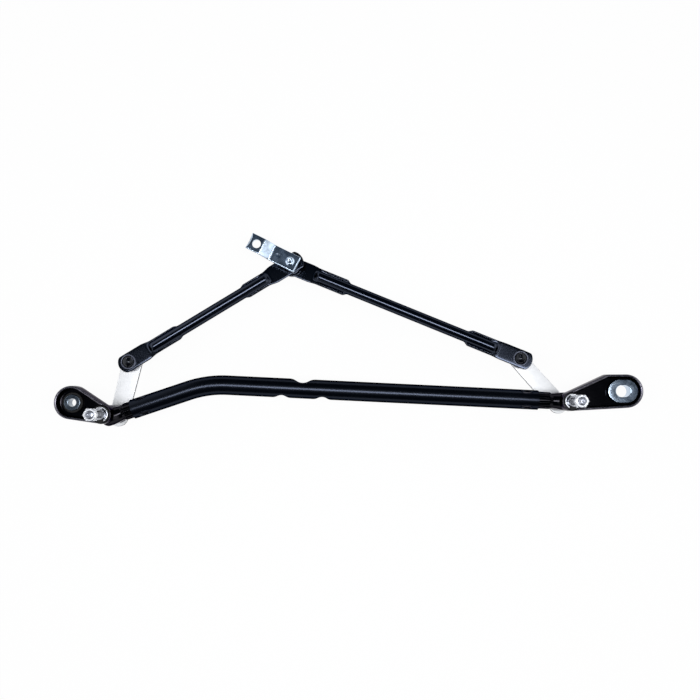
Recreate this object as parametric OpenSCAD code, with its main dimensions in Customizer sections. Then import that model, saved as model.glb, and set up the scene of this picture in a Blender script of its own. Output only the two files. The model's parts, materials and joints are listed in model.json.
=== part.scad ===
// Wiper linkage: a tubular frame with two pivot housings, two levers, two link rods and a crank arm.
// The origin is the left mounting sleeve's axis at its lower seat. X runs along the frame, Z up the shafts.

/* [Layout] */
// Right mount, along the frame from the left mount
right_mount_x = 609.6; // [560:0.1:660]
// Right mount, across the frame from the left mount
right_mount_y = 13; // [0:0.1:30]
// Left pivot, along the frame from the left mount
left_pivot_x = 34.2; // [31:0.1:46]
// Left pivot, across the frame from the left mount
left_pivot_y = -13; // [-20:0.1:-5]
// Right pivot, back along the frame from the right mount
right_pivot_back = 58.4; // [50:0.1:70]
// Right pivot, across the frame below the right mount
right_pivot_drop = 11.3; // [4:0.1:18]

/* [Frame tube] */
// Outer diameter of the frame tube
tube_d = 22; // [20:0.5:24]
// Wall of the frame tube
tube_wall = 1.5; // [1:0.1:2.2]
// Tube axis below the mounts' lower seat
tube_drop = 2; // [0:0.5:6]
// Corner of the two tube runs, along the frame
bend_x = 146.7; // [120:0.5:180]
// Corner of the two tube runs, across the frame
bend_y = 20.8; // [14:0.1:28]
// Slope of the short left run
left_run_angle = 18.6; // [12:0.1:24]
// Centre line radius of the bend
bend_r = 120; // [80:5:160]
// Fuller section of the tube in the bend
bend_swell = 0.1; // [0.05:0.05:0.3]
// Lap of the bend over the ends of the runs, in degrees
bend_lap = 0.4; // [0.2:0.1:0.8]
// Left end of the tube, from the left pivot
left_neck = 29; // [24:0.5:40]
// Right end of the tube, from the right pivot
right_neck = 33; // [24:0.5:45]
// Middle press dent, from the corner of the runs
dent_along = 107; // [80:1:140]
// Spacing of the press dents
dent_pitch = 23; // [20:0.5:30]
// Depth of the middle dent
dent_deep = 4.3; // [2:0.1:5]
// Depth of the two outer dents
dent_shallow = 2.7; // [1.5:0.1:4]
// Radius of the pressing die, also that of the dent's shoulders
dent_r = 10; // [8:0.5:14]
// Radius of a crimp dimple's punch
crimp_r = 5; // [4:0.5:7]
// Depth of a crimp dimple
crimp_depth = 1; // [0.5:0.1:1.2]
// Crimp dimples, in from the end of the tube
crimp_inset = 13; // [10:0.5:18]

/* [Pivot housings] */
// Diameter of the bearing boss
boss_d = 21; // [19:0.5:25]
// Boss above the mounts' lower seat
boss_rise = 20.6; // [16:0.1:26]
// Boss below the mounts' lower seat
boss_depth = 47; // [35:1:60]
// Outer radius of the mounting eyes
eye_r = 18.9; // [18:0.1:23]
// Outer radius of the tray around the boss
tray_boss_r = 10.9; // [10.7:0.1:14]
// Tray floor above the mounts' lower seat
floor_lift = 5; // [4:0.5:8]
// Thickness of the tray floor
floor_t = 4; // [3:0.5:5]
// Rim of the tray above its floor
rim_h = 11; // [6:0.5:14]
// Wall of the tray's rim
rim_w = 2.6; // [2:0.1:3.5]
// Half spread of the two arcs of the right eye
right_eye_spread = 2; // [1:0.5:4]
// Shoulder of the right tray, back from the right mount
shoulder_back = 17.2; // [14:0.5:24]
// Shoulder of the right tray, across from the right mount
shoulder_side = 10.8; // [8:0.1:12]
// Radius of the right tray's shoulder
shoulder_r = 8; // [5:0.5:10]
// Length of the ribbed spigot inside the tube
spigot_len = 26; // [18:1:35]
// Ribs around the spigot
spigot_ribs = 12; // [8:1:14]
// Width of a spigot rib
rib_w = 2; // [1.5:0.1:2.5]
// Height of a spigot rib
rib_h = 1.4; // [0.8:0.1:2]
// Smooth part of the neck, from the pivot
neck_root = 16; // [13:0.5:20]
// Half height of the neck's root at the boss
root_h = 12; // [10:0.5:14]
// Gusset under the arm, down from the tray floor
gusset_h = 26; // [15:1:38]
// Thickness of the gusset
gusset_t = 5; // [3:0.5:7]

/* [Mounts] */
// Bolt hole of the left mounting sleeve
bolt_d = 9; // [7:0.1:10]
// Wall of both mounting sleeves
sleeve_wall = 2; // [1.5:0.1:2.5]
// Flange of the left sleeve, out from its tube
left_flange_w = 2.5; // [2:0.1:3.5]
// Thickness of the sleeve flanges
flange_t = 1.5; // [1:0.1:2.5]
// Width of the right sleeve's slot
slot_w = 13.2; // [10:0.1:14]
// Half spread of the slot's two round ends
slot_spread = 1.5; // [1:0.1:3]
// Flange of the right sleeve, out from its tube
right_flange_w = 4.2; // [3:0.1:4.5]
// Half spread of the right flange's two round ends
flange_spread = 3.7; // [3:0.1:4]
// Thickness of a grommet's lips
lip_t = 4; // [3:0.5:5]
// Rubber between a sleeve and its eye
grommet_wall = 2.5; // [2:0.1:3]
// Grommet lip beyond its groove
lip_w = 2.4; // [1.5:0.1:3]

/* [Pivot shafts] */
// Diameter of the pivot shafts
shaft_d = 12; // [10:0.5:13]
// Wall of the shaft bushes
bush_wall = 1.8; // [1.2:0.1:2]
// Length of a shaft bush
bush_len = 14; // [8:1:20]
// Thickness of the shaft seal
seal_t = 2.8; // [2:0.1:4]
// Diameter of the thrust washers
washer_d = 18.6; // [17:0.1:22]
// Thickness of the upper thrust washer
washer_t = 1.2; // [0.8:0.1:2]
// Thickness of the lower thrust washer
lower_washer_t = 1.6; // [1:0.1:2.5]
// Outer diameter of the retaining clip
clip_d = 16.4; // [16:0.1:20]
// Width of the retaining clip's ring
clip_w = 2; // [1.5:0.1:2.1]
// Width of the clip's tabs that reach into the shaft's groove
clip_tab_w = 3.4; // [2.5:0.1:4]
// Thickness of the retaining clip
clip_t = 1.2; // [0.8:0.1:1.6]
// Opening of the retaining clip
clip_mouth = 8; // [6:0.5:9]
// Depth of the clip's groove in the shaft
groove_depth = 1.2; // [0.8:0.1:1.5]
// Plain shaft above the clip
shaft_neck = 8; // [5:0.5:14]
// Length of the tapered arm seat
taper_len = 15; // [10:0.5:20]
// Diameter of the arm seat's top
taper_top_d = 10; // [9:0.1:11.5]
// Thread diameter
thread_d = 8; // [6:0.5:8.5]
// Length of the thread
thread_len = 17; // [14:0.5:24]
// Nut above the arm seat
nut_lift = 6.3; // [2:0.1:7]
// Nut across its flats
nut_af = 13; // [11:0.5:14]
// Height of the nut
nut_h = 6.5; // [5:0.1:7]

/* [Levers] */
// Thickness of the levers
lever_t = 4; // [3:0.5:6]
// Left lever between its pivot and its ball
left_lever_len = 62.4; // [55:0.1:72]
// Left lever's direction
left_lever_angle = 76.85; // [70:0.05:84]
// Right lever between its pivot and its ball
right_lever_len = 67.2; // [60:0.1:75]
// Right lever's direction
right_lever_angle = 131.55; // [122:0.05:138]
// Radius of the levers' pivot ends
lever_pivot_r = 11; // [9.5:0.1:13]
// Round of the pivot ends beyond the pivots
lever_tail = 4; // [0.5:0.5:6]
// Radius of the left lever's ball end
left_ball_end_r = 11.6; // [9:0.1:13]
// Radius of the right lever's ball end
right_ball_end_r = 10; // [9:0.1:13]
// Diameter of the riveted feet of the shafts
foot_d = 10; // [8:0.5:10]
// Peened head under a lever
peen_h = 1.2; // [0.8:0.1:2]
// Diameter of the lever balls, and of the crank's upper ball
ball_d = 12; // [10:0.5:13]
// Ball centre above the lever
ball_lift = 14; // [13:0.5:18]
// Diameter of a ball stud's collar
collar_d = 14; // [11:0.5:16]
// Height of a lever stud's collar
collar_h = 3; // [2:0.5:4]
// Diameter of a ball stud's neck
neck_d = 7.4; // [6:0.1:8]

/* [Links] */
// Left link between its balls
left_link_len = 221.85; // [200:0.05:240]
// Left link's direction
left_link_angle = 31.5; // [26:0.1:36]
// Diameter of the rolled middle of a link
rod_d = 13.6; // [11:0.1:15]
// Sheet thickness of the rolled middle
rod_wall = 1.5; // [1:0.1:2]
// Open seam along the underside of the rolled middle
seam_w = 1; // [0.5:0.1:2]
// Thickness of the flat pads
pad_t = 3; // [2.5:0.1:4]
// Half width of the lever pads
lever_pad_half = 10.4; // [9.5:0.1:12]
// Half width of the crank pads
crank_pad_half = 10.8; // [10.4:0.1:12]
// Round end of the left link's lever pad, from its ball
left_pad_end_r = 12.6; // [11.5:0.1:15]
// Round end of the right link's lever pad, from its ball
right_pad_end_r = 14.2; // [12:0.1:16]
// Round end of both crank pads, from their balls
crank_pad_end_r = 15.2; // [12:0.1:17]
// Flat pad of a lever end, from its ball
lever_pad_len = 25; // [20:0.5:34]
// Flat pad of a crank end, from its ball
crank_pad_len = 27; // [20:0.5:34]
// Ramp between a pad and the round section
ramp_len = 9; // [5:0.5:12]
// Winged section of the left link, beyond its lever pad
left_wing_lever = 46; // [30:0.5:55]
// Winged section of the left link, beyond its crank pad
left_wing_crank = 40; // [28:0.5:50]
// Winged section of the right link, beyond its lever pad
right_wing_lever = 44; // [30:0.5:55]
// Winged section of the right link, beyond its crank pad
right_wing_crank = 48; // [30:0.5:60]
// Half width of the left link's winged sections
left_wing_half = 8.6; // [8:0.1:10]
// Half width of the right link's winged sections
right_wing_half = 9.7; // [8:0.1:10.4]
// Thickness of the wings
wing_t = 4.6; // [3:0.1:6]
// Rounded shoulder of a winged section
wing_r = 3.5; // [2:0.1:6]

/* [Sockets] */
// Plastic around a ball
socket_wall = 1.4; // [1:0.1:1.8]
// Flange under a pad, out from the socket
socket_flange_w = 3.5; // [1.5:0.1:3.8]
// Socket below the ball's centre
socket_depth = 7; // [4:0.1:7.5]
// Snap collar above a pad, out from the socket
snap_w = 1; // [0.6:0.1:1.5]
// Snap collar above the ball's centre
snap_top = 4; // [3.5:0.1:5]
// Width of the moat between the snap collar and the dome
moat_w = 0.8; // [0.5:0.1:1.2]
// Depth of the moat
moat_depth = 1.2; // [0.5:0.1:1.6]
// Share of the ball's diameter that passes the socket's mouth
mouth_share = 0.87; // [0.8:0.01:0.95]

/* [Crank] */
// Crank arm between the motor hole and the ball stud
crank_len = 42.3; // [38:0.1:50]
// Crank arm's direction, from the ball stud
crank_angle = 153.6; // [145:0.1:165]
// Width of the crank strip
crank_w = 19.3; // [16:0.1:22]
// Thickness of the crank strip
crank_t = 4; // [3:0.5:5]
// Crank strip beyond the ball stud
crank_tail = 9.9; // [8.5:0.1:14]
// Crank strip beyond the motor hole
crank_nose = 10.2; // [9.5:0.1:14]
// Start of the step, from the ball stud
step_start = 25; // [22:0.5:27]
// Length of the step
step_len = 10; // [8:0.5:11]
// Rise of the step to the motor pad
step_rise = 8; // [5:0.5:12]
// Motor hole
motor_hole_d = 10; // [8:0.1:12]
// Hollow of the motor pad's end
nose_hollow = 2.2; // [0.5:0.1:2.6]
// Oval mark, from the ball stud
mark_along = 15.4; // [14:0.1:17]
// Length of the oval mark
mark_len = 8.5; // [5:0.1:9]
// Width of the oval mark
mark_w = 5; // [3:0.1:7]
// Depth of the oval mark
mark_depth = 0.5; // [0.3:0.1:1]
// Underside of the crank above the upper ball's centre
crank_lift = 14; // [13:0.5:20]
// Diameter of the rivet head on the crank
rivet_d = 10.4; // [9:0.1:13]
// Height of the rivet head
rivet_h = 1.6; // [1:0.1:2.5]
// Drop from the upper ball to the lower ball
ball_drop = 13; // [12:0.5:16]
// Diameter of the lower ball
lower_ball_d = 9; // [8:0.5:10]
// Neck between the two balls
lower_neck_d = 5.6; // [4:0.1:6.5]
// Free room around the lower ball in its cup
open_room = 3; // [2.9:0.1:3.3]

/* [Fits] */
// Radial clearance of a shaft in its bush
run_fit = 0.05; // [0.02:0.01:0.1]
// Radial clearance of a ball in its socket
ball_fit = 0.1; // [0.05:0.01:0.1]
// Radial clearance of pieces that are fixed together
seat_fit = 0.05; // [0.02:0.01:0.1]
// End play between turning faces
end_play = 0.2; // [0.1:0.05:0.4]

/* [Hidden] */
$fn = 48;

// Overshoot of cutting shapes past the faces that they cut
cut = 1;
// Width of the crank's hollow end beyond each side of the strip
hollow_over = 0.6;
// Tuck of a band's straight sides inside the tangents of its discs
tuck = 0.002;
// Turns of the crimp dimples around a tube end, and of the clip's tabs around a shaft
crimp_turns = [55, 125, 235, 305];
clip_tab_turns = [90, 205, 335];

// Finishes
paint_black = [0.05, 0.05, 0.06];
cast_black = [0.07, 0.07, 0.08];
rubber_black = [0.03, 0.03, 0.03];
plastic_black = [0.09, 0.09, 0.1];
zinc = [0.78, 0.8, 0.84];
bright_steel = [0.7, 0.71, 0.73];
bronze = [0.62, 0.46, 0.26];

// Radii
tube_r = tube_d / 2;
tube_in_r = tube_r - tube_wall;
boss_r = boss_d / 2;
shaft_r = shaft_d / 2;
bush_in_r = shaft_r + run_fit;
bush_r = bush_in_r + bush_wall;
foot_r = foot_d / 2;
groove_r = shaft_r - groove_depth;
thread_r = thread_d / 2;
ball_r = ball_d / 2;
rod_r = rod_d / 2;
cavity_r = ball_r + ball_fit;
socket_r = cavity_r + socket_wall;
lower_ball_r = lower_ball_d / 2;
cup_room_r = lower_ball_r + open_room;
cup_r = cup_room_r + socket_wall;
left_sleeve_r = bolt_d / 2 + sleeve_wall;
right_sleeve_r = slot_w / 2 + sleeve_wall;

// Plan positions
left_mount = [0, 0];
right_mount = [right_mount_x, right_mount_y];
left_pivot = [left_pivot_x, left_pivot_y];
right_pivot = right_mount - [right_pivot_back, right_pivot_drop];
bend_corner = [bend_x, bend_y];
left_ball = left_pivot + left_lever_len * dir(left_lever_angle);
right_ball = right_pivot + right_lever_len * dir(right_lever_angle);
crank_stud = left_ball + left_link_len * dir(left_link_angle);
right_link_plan = norm(crank_stud - right_ball);
right_link_angle = heading(right_ball, crank_stud);
right_link_len = norm([right_link_plan, ball_drop]);
right_link_tilt = atan2(ball_drop, right_link_plan);

// Tube runs: the right run aims at the right pivot
right_run_angle = heading(bend_corner, right_pivot);
bend_turn = left_run_angle - right_run_angle;
bend_tangent = bend_r * tan(bend_turn / 2);
left_foot = foot_on_line(left_pivot, bend_corner, left_run_angle);
left_run_len = norm(bend_corner - left_foot) - left_neck - bend_tangent;
right_run_len = norm(right_pivot - bend_corner) - right_neck - bend_tangent;

// Heights
floor_z = floor_lift;
floor_top = floor_lift + floor_t;
rim_top = floor_top + rim_h;
sleeve_len = floor_top + lip_t + flange_t;
boss_top = boss_rise;
boss_bottom = -boss_depth;
washer_z = boss_top + end_play;
clip_z = washer_z + washer_t;
taper_z = clip_z + clip_t + shaft_neck;
taper_top = taper_z + taper_len;
shaft_tip = taper_top + thread_len;
nut_z = taper_top + nut_lift;
lever_top = boss_bottom - end_play - lower_washer_t;
lever_bottom = lever_top - lever_t;
ball_z = lever_top + ball_lift;
crank_bottom = ball_z + crank_lift;

// Unit direction of an angle in plan
function dir(angle) = [cos(angle), sin(angle)];

// Angle of the line from one plan point to another
function heading(from, to) = atan2(to.y - from.y, to.x - from.x);

// Nearest point to p on the line through q along an angle
function foot_on_line(p, q, angle) = q + ((p - q) * dir(angle)) * dir(angle);

// Two discs [x, y, r] and the band between their outer tangents, tucked in a hair so that its
// sides cross the discs cleanly
module band(a, b) {
  p = [a.x, a.y];
  q = [b.x, b.y];
  run = heading(p, q);
  lean = acos((a[2] - b[2]) / norm(q - p));
  a_r = a[2] - tuck;
  b_r = b[2] - tuck;
  translate(p) circle(r = a[2]);
  translate(q) circle(r = b[2]);
  polygon([
    p + a_r * dir(run + lean),
    p + a_r * dir(run - lean),
    q + b_r * dir(run - lean),
    q + b_r * dir(run + lean)
  ]);
}

// Convex outline around a ring of discs [x, y, r]
module outline(discs) {
  count = len(discs);
  for (i = [0 : count - 1]) band(discs[i], discs[(i + 1) % count]);
  if (count > 2) polygon([for (d = discs) [d.x, d.y]]);
}

// Slot with round ends along X
module slot(r, spread) {
  band([-spread, 0, r], [spread, 0, r]);
}

// Flat ring
module ring(r, hole_r, h) {
  difference() {
    cylinder(r = r, h = h);
    translate([0, 0, -cut]) cylinder(r = hole_r, h = h + 2 * cut);
  }
}

// Lying cylinder from the local origin along X
module lying(r, h) {
  rotate([0, 90, 0]) cylinder(r = r, h = h);
}

// Frame tube

// Places the right run's own frame: the end of the bend at the origin and the run along X
module on_right_run() {
  translate(concat(bend_corner + bend_tangent * dir(right_run_angle), -tube_drop))
    rotate(right_run_angle) children();
}

// Solid path of the two runs and the bend, with an end overshoot, in the right run's frame.
// The bend is a little fuller than the runs and laps over their ends.
module tube_path(r, over) {
  lying(r, right_run_len + over);
  translate([0, -bend_r, 0]) {
    rotate(90 - bend_lap) rotate_extrude(angle = bend_turn + 2 * bend_lap)
      translate([bend_r, 0]) circle(r = r + bend_swell);
    rotate(bend_turn) translate([0, bend_r, 0]) rotate([0, -90, 0]) cylinder(r = r, h = left_run_len + over);
  }
}

// Press dent on the +Y side of a tube along X: the die's arc between two shoulder arcs.
// Grow moves the dented wall inwards, for the inside of the tube.
module dent_profile(depth, grow) {
  reach = 2 * dent_r;
  half = sqrt(reach * reach - (reach - depth) * (reach - depth));
  die_y = tube_r - depth + dent_r;
  shoulder_y = tube_r - dent_r;
  shoulder_rad = dent_r - grow;
  touch_y = shoulder_y + shoulder_rad * (reach - depth) / reach;
  translate([0, die_y]) circle(r = dent_r + grow);
  difference() {
    translate([-half, touch_y]) square([2 * half, die_y - touch_y]);
    for (side = [-1, 1]) translate([side * half, shoulder_y]) circle(r = shoulder_rad);
  }
}

// The three dents, on alternate sides of the right run
module dents(grow) {
  for (step = [-1, 0, 1])
    translate([dent_along - bend_tangent + step * dent_pitch, 0, -tube_r - cut])
      mirror([0, abs(step), 0])
        linear_extrude(2 * (tube_r + cut)) dent_profile(step == 0 ? dent_deep : dent_shallow, grow);
}

// Crimp dimples around one tube end, in a frame along the tube
module crimps() {
  for (turn = crimp_turns)
    rotate([turn, 0, 0]) translate([crimp_inset, 0, tube_r + crimp_r - crimp_depth]) sphere(r = crimp_r);
}

module frame_tube() {
  color(paint_black) difference() {
    on_right_run() difference() {
      tube_path(tube_r, 0);
      dents(0);
      difference() {
        tube_path(tube_in_r, cut);
        dents(tube_wall);
      }
    }
    translate(concat(left_foot, -tube_drop)) rotate(left_run_angle) translate([left_neck, 0]) crimps();
    translate(concat(right_pivot, -tube_drop)) rotate(right_run_angle + 180) translate([right_neck, 0]) crimps();
  }
}

// Pivot housings

left_tray = [[left_mount.x, left_mount.y, eye_r], [left_pivot.x, left_pivot.y, tray_boss_r]];
right_tray = [
  [right_pivot.x, right_pivot.y, tray_boss_r],
  [right_mount.x + right_eye_spread, right_mount.y, eye_r],
  [right_mount.x - right_eye_spread, right_mount.y, eye_r],
  [right_mount.x - shoulder_back, right_mount.y + shoulder_side, shoulder_r]
];

// Discs of a tray outline, drawn in by the rim's wall
function inner_tray(discs) = [for (d = discs) [d.x, d.y, d[2] - rim_w]];

// Ribbed spigot along X: a core with ribs that fill the tube's bore
module spigot(reach) {
  rib_r = tube_in_r - seat_fit;
  rotate([0, 90, 0]) linear_extrude(reach) {
    circle(r = rib_r - rib_h);
    intersection() {
      circle(r = rib_r);
      for (i = [0 : spigot_ribs - 1])
        rotate(i * 360 / spigot_ribs) translate([0, -rib_w / 2]) square([tube_r, rib_w]);
    }
  }
}

// Root between the boss and the spigot: tangent to both in plan, and sloped from one to the other
module neck_block(pivot, root) {
  reach = norm(root - pivot);
  end_h = tube_in_r - 2 * rib_h;
  intersection() {
    translate([0, 0, -root_h]) linear_extrude(2 * root_h)
      band([pivot.x, pivot.y, boss_r - rib_h / 2], [root.x, root.y, tube_in_r - rib_h / 2]);
    translate(pivot) rotate([90, 0, heading(pivot, root)]) translate([0, 0, -tube_d])
      linear_extrude(2 * tube_d) polygon([
        [-boss_r, -root_h],
        [0, -root_h],
        [reach, -end_h],
        [reach, end_h],
        [0, root_h],
        [-boss_r, root_h]
      ]);
  }
}

// Stiffening gusset under the arm, from the boss towards the eye
module gusset(reach) {
  rotate([90, 0, 0]) translate([0, 0, -gusset_t / 2]) linear_extrude(gusset_t) polygon([
    [0, floor_z - gusset_h],
    [boss_r, floor_z - gusset_h],
    [reach, floor_z + floor_t / 2],
    [0, floor_z + floor_t / 2]
  ]);
}

// Casting with a tray-shaped arm, a bearing boss and a spigot; the eye's outline is the child
module pivot_housing(pivot, eye, tray, foot, run_angle, neck) {
  arm = norm(eye - pivot);
  difference() {
    union() {
      translate([0, 0, floor_z]) linear_extrude(rim_top - floor_z) outline(tray);
      translate(concat(pivot, boss_bottom)) cylinder(r = boss_r, h = boss_top - boss_bottom);
      translate(concat(foot, -tube_drop)) rotate(run_angle)
        translate([neck_root - rib_w, 0]) spigot(neck + spigot_len - neck_root + rib_w);
      translate([0, 0, -tube_drop]) neck_block(pivot, foot + neck_root * dir(run_angle));
      translate(pivot) rotate(heading(pivot, eye)) gusset(arm - eye_r + rim_w);
    }
    difference() {
      translate([0, 0, floor_top]) linear_extrude(rim_h + cut) outline(inner_tray(tray));
      translate(concat(pivot, floor_top)) cylinder(r = boss_r, h = rim_h + cut);
    }
    translate(concat(eye, floor_z - cut)) linear_extrude(floor_t + 2 * cut) children();
    translate(concat(pivot, boss_bottom)) {
      depth = boss_top - boss_bottom;
      translate([0, 0, -cut]) cylinder(r = bush_in_r + bush_wall / 2, h = depth + 2 * cut);
      translate([0, 0, -cut]) cylinder(r = bush_r + seat_fit, h = bush_len + cut);
      translate([0, 0, depth - seal_t - bush_len]) cylinder(r = bush_r + seat_fit, h = bush_len + seal_t + cut);
    }
  }
}

module left_pivot_housing() {
  color(cast_black) pivot_housing(left_pivot, left_mount, left_tray, left_foot, left_run_angle, left_neck)
    circle(r = left_sleeve_r + grommet_wall);
}

module right_pivot_housing() {
  color(cast_black)
    pivot_housing(right_pivot, right_mount, right_tray, right_pivot, right_run_angle + 180, right_neck)
      slot(right_sleeve_r + grommet_wall, slot_spread);
}

// Mounting grommets and sleeves

// Grooved rubber around a sleeve; a spread of zero gives a round one
module grommet(sleeve_r, spread) {
  groove_out = sleeve_r + grommet_wall - seat_fit;
  difference() {
    union() {
      translate([0, 0, floor_z - lip_t]) linear_extrude(lip_t) oval(groove_out + lip_w, spread);
      translate([0, 0, floor_z]) linear_extrude(floor_t) oval(groove_out, spread);
      translate([0, 0, floor_top]) linear_extrude(lip_t) oval(groove_out + lip_w, spread);
    }
    translate([0, 0, floor_z - lip_t - cut])
      linear_extrude(2 * lip_t + floor_t + 2 * cut) oval(sleeve_r + seat_fit, spread);
  }
}

// Disc, or slot where it has a spread
module oval(r, spread) {
  if (spread > 0) slot(r, spread);
  else circle(r = r);
}

// Flanged steel sleeve that stands on the mount's seat
module sleeve(hole_r, spread, flange_r, flange_half) {
  difference() {
    union() {
      linear_extrude(sleeve_len) oval(hole_r + sleeve_wall, spread);
      translate([0, 0, sleeve_len - flange_t]) linear_extrude(flange_t) oval(flange_r, flange_half);
    }
    translate([0, 0, -cut]) linear_extrude(sleeve_len + 2 * cut) oval(hole_r, spread);
  }
}

module left_grommet() {
  color(rubber_black) translate(left_mount) grommet(left_sleeve_r, 0);
}

module right_grommet() {
  color(rubber_black) translate(right_mount) grommet(right_sleeve_r, slot_spread);
}

module left_mount_sleeve() {
  color(zinc) translate(left_mount) sleeve(bolt_d / 2, 0, left_sleeve_r + left_flange_w, 0);
}

module right_mount_sleeve() {
  color(zinc) translate(right_mount)
    sleeve(slot_w / 2, slot_spread, right_sleeve_r + right_flange_w, flange_spread);
}

// Bearings

module upper_bush(pivot) {
  color(bronze) translate(concat(pivot, boss_top - seal_t - bush_len)) ring(bush_r, bush_in_r, bush_len);
}

module lower_bush(pivot) {
  color(bronze) translate(concat(pivot, boss_bottom)) ring(bush_r, bush_in_r, bush_len);
}

// The seal fills the counterbore over the upper bush and clears the shaft
module shaft_seal(pivot) {
  color(rubber_black) translate(concat(pivot, boss_top - seal_t))
    ring(bush_r, bush_in_r + end_play, seal_t);
}

module left_upper_bush() {
  upper_bush(left_pivot);
}

module left_lower_bush() {
  lower_bush(left_pivot);
}

module right_upper_bush() {
  upper_bush(right_pivot);
}

module right_lower_bush() {
  lower_bush(right_pivot);
}

module left_shaft_seal() {
  shaft_seal(left_pivot);
}

module right_shaft_seal() {
  shaft_seal(right_pivot);
}

// Pivot shafts and what rides on them

// Turned shaft: peened foot, journal, clip groove, tapered arm seat and thread
module pivot_shaft(pivot) {
  tip_chamfer = thread_r / 4;
  color(bright_steel) translate(pivot) rotate_extrude() polygon([
    [0, lever_bottom - peen_h],
    [shaft_r - peen_h, lever_bottom - peen_h],
    [shaft_r, lever_bottom],
    [foot_r, lever_bottom],
    [foot_r, lever_top],
    [shaft_r, lever_top],
    [shaft_r, clip_z],
    [groove_r, clip_z],
    [groove_r, clip_z + clip_t],
    [shaft_r, clip_z + clip_t],
    [shaft_r, taper_z],
    [taper_top_d / 2, taper_top],
    [thread_r, taper_top],
    [thread_r, shaft_tip - tip_chamfer],
    [thread_r - tip_chamfer, shaft_tip],
    [0, shaft_tip]
  ]);
}

// Hexagon nut with turned corners
module arm_nut(pivot) {
  corner_r = nut_af / sqrt(3);
  chamfer = corner_r - nut_af / 2;
  color(zinc) translate(concat(pivot, nut_z)) difference() {
    intersection() {
      cylinder(r = corner_r, h = nut_h, $fn = 6);
      rotate_extrude() polygon([
        [0, 0],
        [nut_af / 2, 0],
        [corner_r, chamfer],
        [corner_r, nut_h - chamfer],
        [nut_af / 2, nut_h],
        [0, nut_h]
      ]);
    }
    translate([0, 0, -cut]) cylinder(r = thread_r + seat_fit, h = nut_h + 2 * cut);
  }
}

// Spring clip: an open ring whose three tabs reach into the shaft's groove
module retaining_clip(pivot) {
  ring_in = clip_d / 2 - clip_w;
  color(zinc) translate(concat(pivot, clip_z)) linear_extrude(clip_t) difference() {
    union() {
      difference() {
        circle(r = clip_d / 2);
        circle(r = ring_in);
      }
      for (turn = clip_tab_turns)
        rotate(turn) translate([groove_r, -clip_tab_w / 2])
          square([ring_in + clip_w / 2 - groove_r, clip_tab_w]);
    }
    circle(r = groove_r + seat_fit);
    translate([-clip_mouth / 2, -clip_d]) square([clip_mouth, clip_d - groove_r]);
  }
}

module thrust_washer(pivot) {
  color(plastic_black) translate(concat(pivot, washer_z)) ring(washer_d / 2, bush_in_r, washer_t);
}

module lower_washer(pivot) {
  color(plastic_black) translate(concat(pivot, lever_top)) ring(boss_r, bush_in_r, lower_washer_t);
}

// Flat lever between the shaft's foot and the ball stud's foot
module lever(pivot, ball, ball_end_r) {
  tail = pivot - lever_tail * dir(heading(pivot, ball));
  color(zinc) translate([0, 0, lever_bottom]) linear_extrude(lever_t) difference() {
    band([tail.x, tail.y, lever_pivot_r], [ball.x, ball.y, ball_end_r]);
    translate(pivot) circle(r = foot_r + seat_fit);
    translate(ball) circle(r = neck_d / 2 + seat_fit);
  }
}

// Riveted ball stud on a lever: peened foot, collar, neck and ball
module lever_ball(ball) {
  neck_r = neck_d / 2;
  color(bright_steel) translate(ball) {
    rotate_extrude() polygon([
      [0, lever_bottom - peen_h],
      [neck_r, lever_bottom - peen_h],
      [neck_r + peen_h, lever_bottom],
      [neck_r, lever_bottom],
      [neck_r, lever_top],
      [collar_d / 2, lever_top],
      [collar_d / 2, lever_top + collar_h],
      [neck_r, lever_top + collar_h],
      [neck_r, ball_z],
      [0, ball_z]
    ]);
    translate([0, 0, ball_z]) sphere(r = ball_r);
  }
}

module left_pivot_shaft() {
  pivot_shaft(left_pivot);
}

module right_pivot_shaft() {
  pivot_shaft(right_pivot);
}

module left_arm_nut() {
  arm_nut(left_pivot);
}

module right_arm_nut() {
  arm_nut(right_pivot);
}

module left_retaining_clip() {
  retaining_clip(left_pivot);
}

module right_retaining_clip() {
  retaining_clip(right_pivot);
}

module left_thrust_washer() {
  thrust_washer(left_pivot);
}

module right_thrust_washer() {
  thrust_washer(right_pivot);
}

module left_lower_washer() {
  lower_washer(left_pivot);
}

module right_lower_washer() {
  lower_washer(right_pivot);
}

module left_lever() {
  lever(left_pivot, left_ball, left_ball_end_r);
}

module right_lever() {
  lever(right_pivot, right_ball, right_ball_end_r);
}

module left_lever_ball() {
  lever_ball(left_ball);
}

module right_lever_ball() {
  lever_ball(right_ball);
}

// Link rods: each lies along X from its lever ball, in its own frame

// Places a link's own frame: the lever ball at the origin and the crank ball along X
module on_left_link() {
  translate(concat(left_ball, ball_z)) rotate(left_link_angle) children();
}

module on_right_link() {
  translate(concat(right_ball, ball_z)) rotate([0, right_link_tilt, right_link_angle]) children();
}

// Flat pad from its ball along X, with a round end behind the ball
module pad(half, reach, end_r, hole_r) {
  translate([0, 0, -pad_t / 2]) linear_extrude(pad_t) difference() {
    union() {
      translate([0, -half]) square([reach, 2 * half]);
      intersection() {
        circle(r = end_r);
        translate([-end_r, -half]) square([end_r, 2 * half]);
      }
    }
    circle(r = hole_r);
  }
}

// Side wings of the pressed sheet along X, with round shoulders at the far end
module wings(half, from, reach) {
  end = from + reach;
  translate([0, 0, -wing_t / 2]) linear_extrude(wing_t) {
    translate([from, -half]) square([reach - wing_r, 2 * half]);
    translate([from, wing_r - half]) square([reach, 2 * (half - wing_r)]);
    for (side = [-1, 1]) translate([end - wing_r, side * (half - wing_r)]) circle(r = wing_r);
  }
}

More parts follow.
